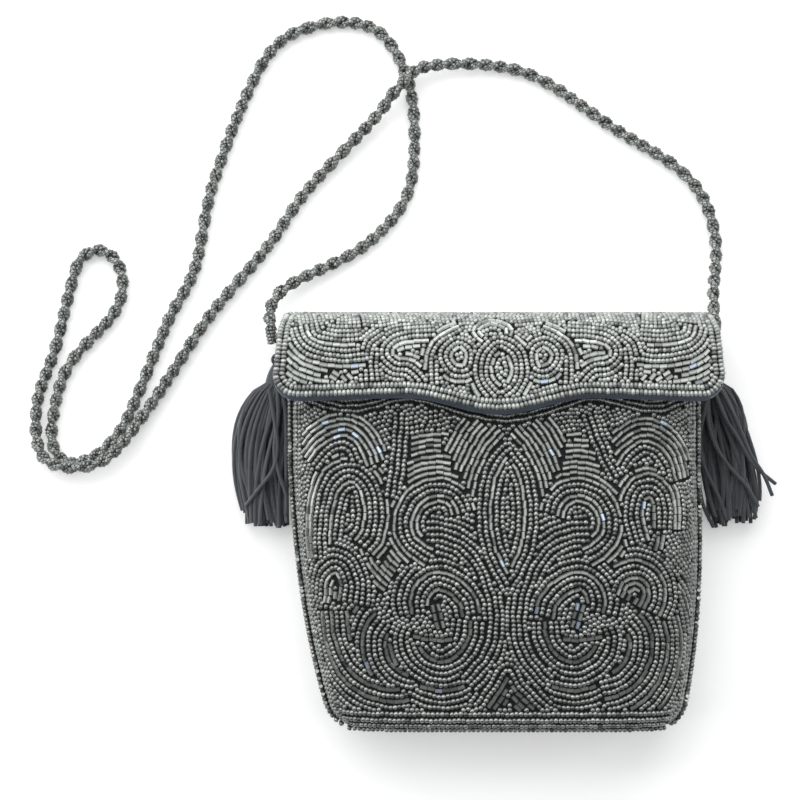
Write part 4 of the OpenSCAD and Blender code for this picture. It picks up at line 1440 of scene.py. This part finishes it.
def block(name, low, high, bevel, material):
    deselectAll()
    middle = [(a + b) / 2 * mm for a, b in zip(low, high)]
    bpy.ops.mesh.primitive_cube_add(size=1, location=middle)
    obj = bpy.context.object
    obj.name = name
    bpy.ops.transform.resize(value=[(b - a) * mm for a, b in zip(low, high)])
    bakePlace(obj)
    rounding = obj.modifiers.new("rounding", "BEVEL")
    rounding.width = bevel * mm
    rounding.segments = 3
    applyModifiers(obj)
    giveMaterial(obj, material)
    smooth(obj)
    return obj


def setTone(obj, tone):
    layer = obj.data.attributes.get("tone") or obj.data.attributes.new("tone", "FLOAT", "POINT")
    layer.data.foreach_set("value", np.full(len(obj.data.vertices), tone, np.float32))


def woundThread(name, place, radius, length, pitch, material):
    # thread wound round an axis; place turns local points (across, up, along) into the bag's frame
    turns = length / pitch
    count = int(turns * 22)
    line = []
    for i in range(count + 1):
        share = i / count
        a = 2 * math.pi * turns * share
        r = radius + fittings["threadR"] * 0.6
        line.append(place((r * math.cos(a), r * math.sin(a), length * share)))
    coil = tubeAlong(name, line, fittings["threadR"], 5)
    giveMaterial(coil, material)
    return coil


def makeTab(side):
    name = "tab" + sideWord(side).title()
    face = besideX(side, 0.1)
    lowY, highY, strapZ = fittings["tabLowY"], fittings["tabHighY"], fittings["strapZ"]
    half = fittings["tongueThick"] / 2

    def span(near, far):
        return sorted((face + side * near, face + side * far))

    low, high = span(0, fittings["tabThick"])
    plate = block(name, (low, lowY, fittings["tabLowZ"]), (high, highY, fittings["tabHighZ"]),
                  0.6, tapeMaterial)
    low, high = span(1.0, fittings["strapReach"] - fittings["strapEndR"] - 0.3)
    tongue = block(name + "Tongue", (low, fittings["strapEndY"], strapZ - half), (high, highY, strapZ + half),
                   0.7, tapeMaterial)
    barLength = tassel["reach"] + fittings["barPastTassel"] - 1.2

    def alongBar(p):
        return (face + side * (1.2 + p[2]), barY + p[0], tassel["z"] + p[1])

    bar = woundThread(name + "Bar", alongBar, fittings["barR"] - 0.45, barLength, 0.56, whippingMaterial)
    core = tubeAlong(name + "Core", [alongBar((0, 0, 0)), alongBar((0, 0, barLength))], 0.75, 12)
    giveMaterial(core, whippingMaterial)
    deselectAll()
    bpy.ops.mesh.primitive_uv_sphere_add(segments=20, ring_count=12, radius=fittings["knobR"] * mm,
                                         location=[c * mm for c in alongBar((0, 0, barLength + 0.7))])
    knob = bpy.context.object
    bpy.ops.transform.resize(value=(0.42, 1, 1))
    bakePlace(knob)
    giveMaterial(knob, whippingMaterial)
    smooth(knob)
    dress(joinAll([plate, tongue, bar, core, knob], name), "root", "thread", "strap_tab_" + sideWord(side))


def makeStrapEnd(side):
    # the rope's beads close in on its bound end
    name = "strapEnd" + sideWord(side).title()
    middleX = besideX(side, fittings["strapReach"])
    length = fittings["strapEndLength"]

    def alongEnd(p):
        return (middleX + p[0], fittings["strapEndY"] + p[2], fittings["strapZ"] + p[1])

    beads = []
    rings = 5
    for k in range(rings):
        along = 0.5 + (length - 0.6) * k / (rings - 1)
        radius = 0.7 + 0.9 * k / (rings - 1)
        count = int(2 * math.pi * radius / 1.3) + 1
        for i in range(count):
            a = 2 * math.pi * (i + 0.5 * k) / count
            out = np.array([math.cos(a), 0, math.sin(a)])
            middle = np.array(alongEnd((radius * out[0], radius * out[2], along)))
            lay = np.cross(out, (0, 1, 0))
            beads.append(("rope", middle, lay, out, random.uniform(0.95, 1.08), beadTone("seed")))
    bound = stampBeads(name, beads, ropeBeadMaterial, 65)
    stub = tubeAlong(name + "Stub", [alongEnd((0, 0, -0.1)), alongEnd((0, 0, length))], 0.8, 12)
    giveMaterial(stub, tapeMaterial)
    dress(joinAll([bound, stub], name), "root", "thread", "strap_end_" + sideWord(side))


for side in (-1, 1):
    makeTab(side)
    makeStrapEnd(side)


def tasselPlace(side, p):
    # from the tassel's own across, up and along to the bag's frame
    x, up, along = p
    turn = math.radians(side * tassel[sideWord(side)]["tilt"])
    return np.array([besideX(side, tassel["reach"]) + x * math.cos(turn) + along * math.sin(turn),
                     pivotY + x * math.sin(turn) - along * math.cos(turn), tassel["z"] + up])


def cord(name, line, radius, tone, sides=7):
    strand = tubeAlong(name, line, radius, sides)
    setTone(strand, tone)
    giveMaterial(strand, tasselMaterial)
    return strand


def flare(t):
    # the skirt opens within its first half and draws in a little at its end
    return math.sin(math.pi / 2 * min(1, t * 2.4)) ** 0.5 * (1 - 0.16 * t ** 3)


def skirtPoint(side, t, a, share, length):
    # a strand at angle a and share of the radius, t along it
    own = tassel[sideWord(side)]
    start = tassel["neckR"] - 0.3
    wide = start + (tassel["skirtHalfW"] - tassel["strandR"] - start) * flare(t)
    thick = start + (tassel["skirtHalfT"] - tassel["strandR"] - start) * flare(t)
    shift = side * tassel["bow"] * math.sin(math.pi * t) * own["bowShare"]
    return (shift + wide * share * math.cos(a), thick * share * math.sin(a), skirtFrom + length * t)


def besideBag(side, place, radius):
    # the bag's side stops a strand, as it lies and when the tassel is lifted
    liftedY = barY - (barY - place[1]) * math.cos(math.pi / 4)
    wall = max(halfWidth(y) + side * leanX(y) for y in (place[1], liftedY))
    place[0] = side * max(side * place[0], wall + tassel["clear"] + radius)
    return place


def makeLoop(side, name, word):
    # one loop through the tassel's eye and round the tab's bar
    link = []
    for i in range(41):
        a = 2 * math.pi * i / 40
        y = (barY if math.sin(a) >= 0 else barY - tassel["loopLength"]) + loopBendR * math.sin(a)
        link.append((besideX(side, tassel["reach"]), y, tassel["z"] + loopBendR * math.cos(a)))
    loop = cord(name + "Loop", link, tassel["loopD"] / 2 - 0.05, tassel[word]["dark"], 10)
    dress(loop, "loop_" + word, "tassel_cord", "tassel_loop_" + word)


def makeHead(side, name, word):
    # an eye, and cords folded over it and gathered into the neck
    dark = tassel[word]["dark"]
    eye = [tasselPlace(side, (eyeR * math.cos(a), 0, eyeR * math.sin(a)))
           for a in np.linspace(0, 2 * math.pi, 31)]
    parts = [cord(name + "Eye", eye, (tassel["loopD"] - 0.2) / 2, dark, 10)]
    for i in range(tassel["headCords"]):
        around = 2 * math.pi * (i + 0.5) / tassel["headCords"]
        line = []
        for k in range(13):
            t = k / 12
            r = 0.6 + (tassel["neckR"] - 1.3) * math.sin(math.pi / 2 * t) ** 0.75
            lean = around + 0.25 * t
            along = headFrom - 0.4 + (tassel["headLength"] + 0.4) * t
            line.append(tasselPlace(side, (r * math.cos(lean), r * math.sin(lean), along)))
        parts.append(cord(name + "Fold", line, 0.72, dark + random.uniform(-0.12, 0.12), 6))
    core = [tasselPlace(side, (0, 0, headFrom + 0.6)), tasselPlace(side, (0, 0, neckFrom))]
    parts.append(cord(name + "Core", core, [1, 2.6], dark, 14))
    dress(joinAll(parts, name + "Head"), "tassel_" + word, "tassel_cord", "tassel_head_" + word)


def makeNeck(side, name, word):
    radius = tassel["neckR"] - 0.7
    coil = woundThread(name + "Neck", lambda p: tasselPlace(side, (p[0], p[1], neckFrom + 0.1 + p[2])),
                       radius - 0.05, tassel["neckLength"] - 0.1, 0.58, loopMaterial)
    ends = [tasselPlace(side, (0, 0, neckFrom + 0.1)), tasselPlace(side, (0, 0, neckTo))]
    inner = tubeAlong(name + "NeckCore", ends, radius, 20)
    giveMaterial(inner, loopMaterial)
    dress(joinAll([coil, inner], name + "Neck"), "tassel_" + word, "thread", "tassel_neck_" + word)


def makeSkirt(side, name, word):
    own = tassel[word]
    strands = []
    for i in range(own["strands"]):
        share = math.sqrt((i + 0.5) / own["strands"])
        a = 2.39996 * i  # the golden angle spreads the strands evenly
        outer = max(0, side * math.cos(a)) * share
        trim = 0.985 - 0.1 * outer * own["bowShare"] - random.uniform(0, own["ragged"])
        length = (tassel["skirtLength"] + tassel["skirtRise"]) * trim
        drift, phase = random.gauss(0, 0.22) * own["wander"], random.uniform(0, 6.28)
        line, radii = [], []
        for k in range(15):
            t = k / 14
            sway = own["wander"] * 0.9 * t * math.sin(4.2 * t + phase)
            spot = min(1, share + 0.05 * math.sin(3 * t + phase))
            p = skirtPoint(side, t, a + 2.2 * drift * t, spot, length)
            across = max(side * (p[0] + sway), -5.3 - own["room"] * p[2])
            radius = tassel["strandR"] * (0.62 + 0.38 * min(1, 5 * t))
            place = besideBag(side, tasselPlace(side, (side * across, p[1], p[2])), radius)
            place[2] = max(place[2], radius + 0.05)
            line.append(place)
            radii.append(radius)
        tone = min(1, max(0, own["dark"] + random.gauss(0, 0.16)))
        strands.append(cord(name + "Strand", line, radii, tone))
    for stray in own["strays"]:
        points = [besideBag(side, tasselPlace(side, (across, up, skirtFrom + along)), tassel["strandR"])
                  for across, up, along in zip(*stray)]
        strands.append(cord(name + "Stray", smoothCurve(points, 5), tassel["strandR"], own["dark"] + 0.2))
    dress(joinAll(strands, name + "Skirt"), "tassel_" + word, "tassel_cord", "tassel_skirt_" + word)


for side, name, word in ((-1, "tasselLeft", "left"), (1, "tasselRight", "right")):
    for make in (makeLoop, makeHead, makeNeck, makeSkirt):
        make(side, name, word)
print("tapes and tassels made")

for node in ("snap_socket", "snap_socket_washer", "snap_stud", "snap_stud_washer"):
    giveMaterial(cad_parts[node], nickelMaterial)
print("snap dressed")
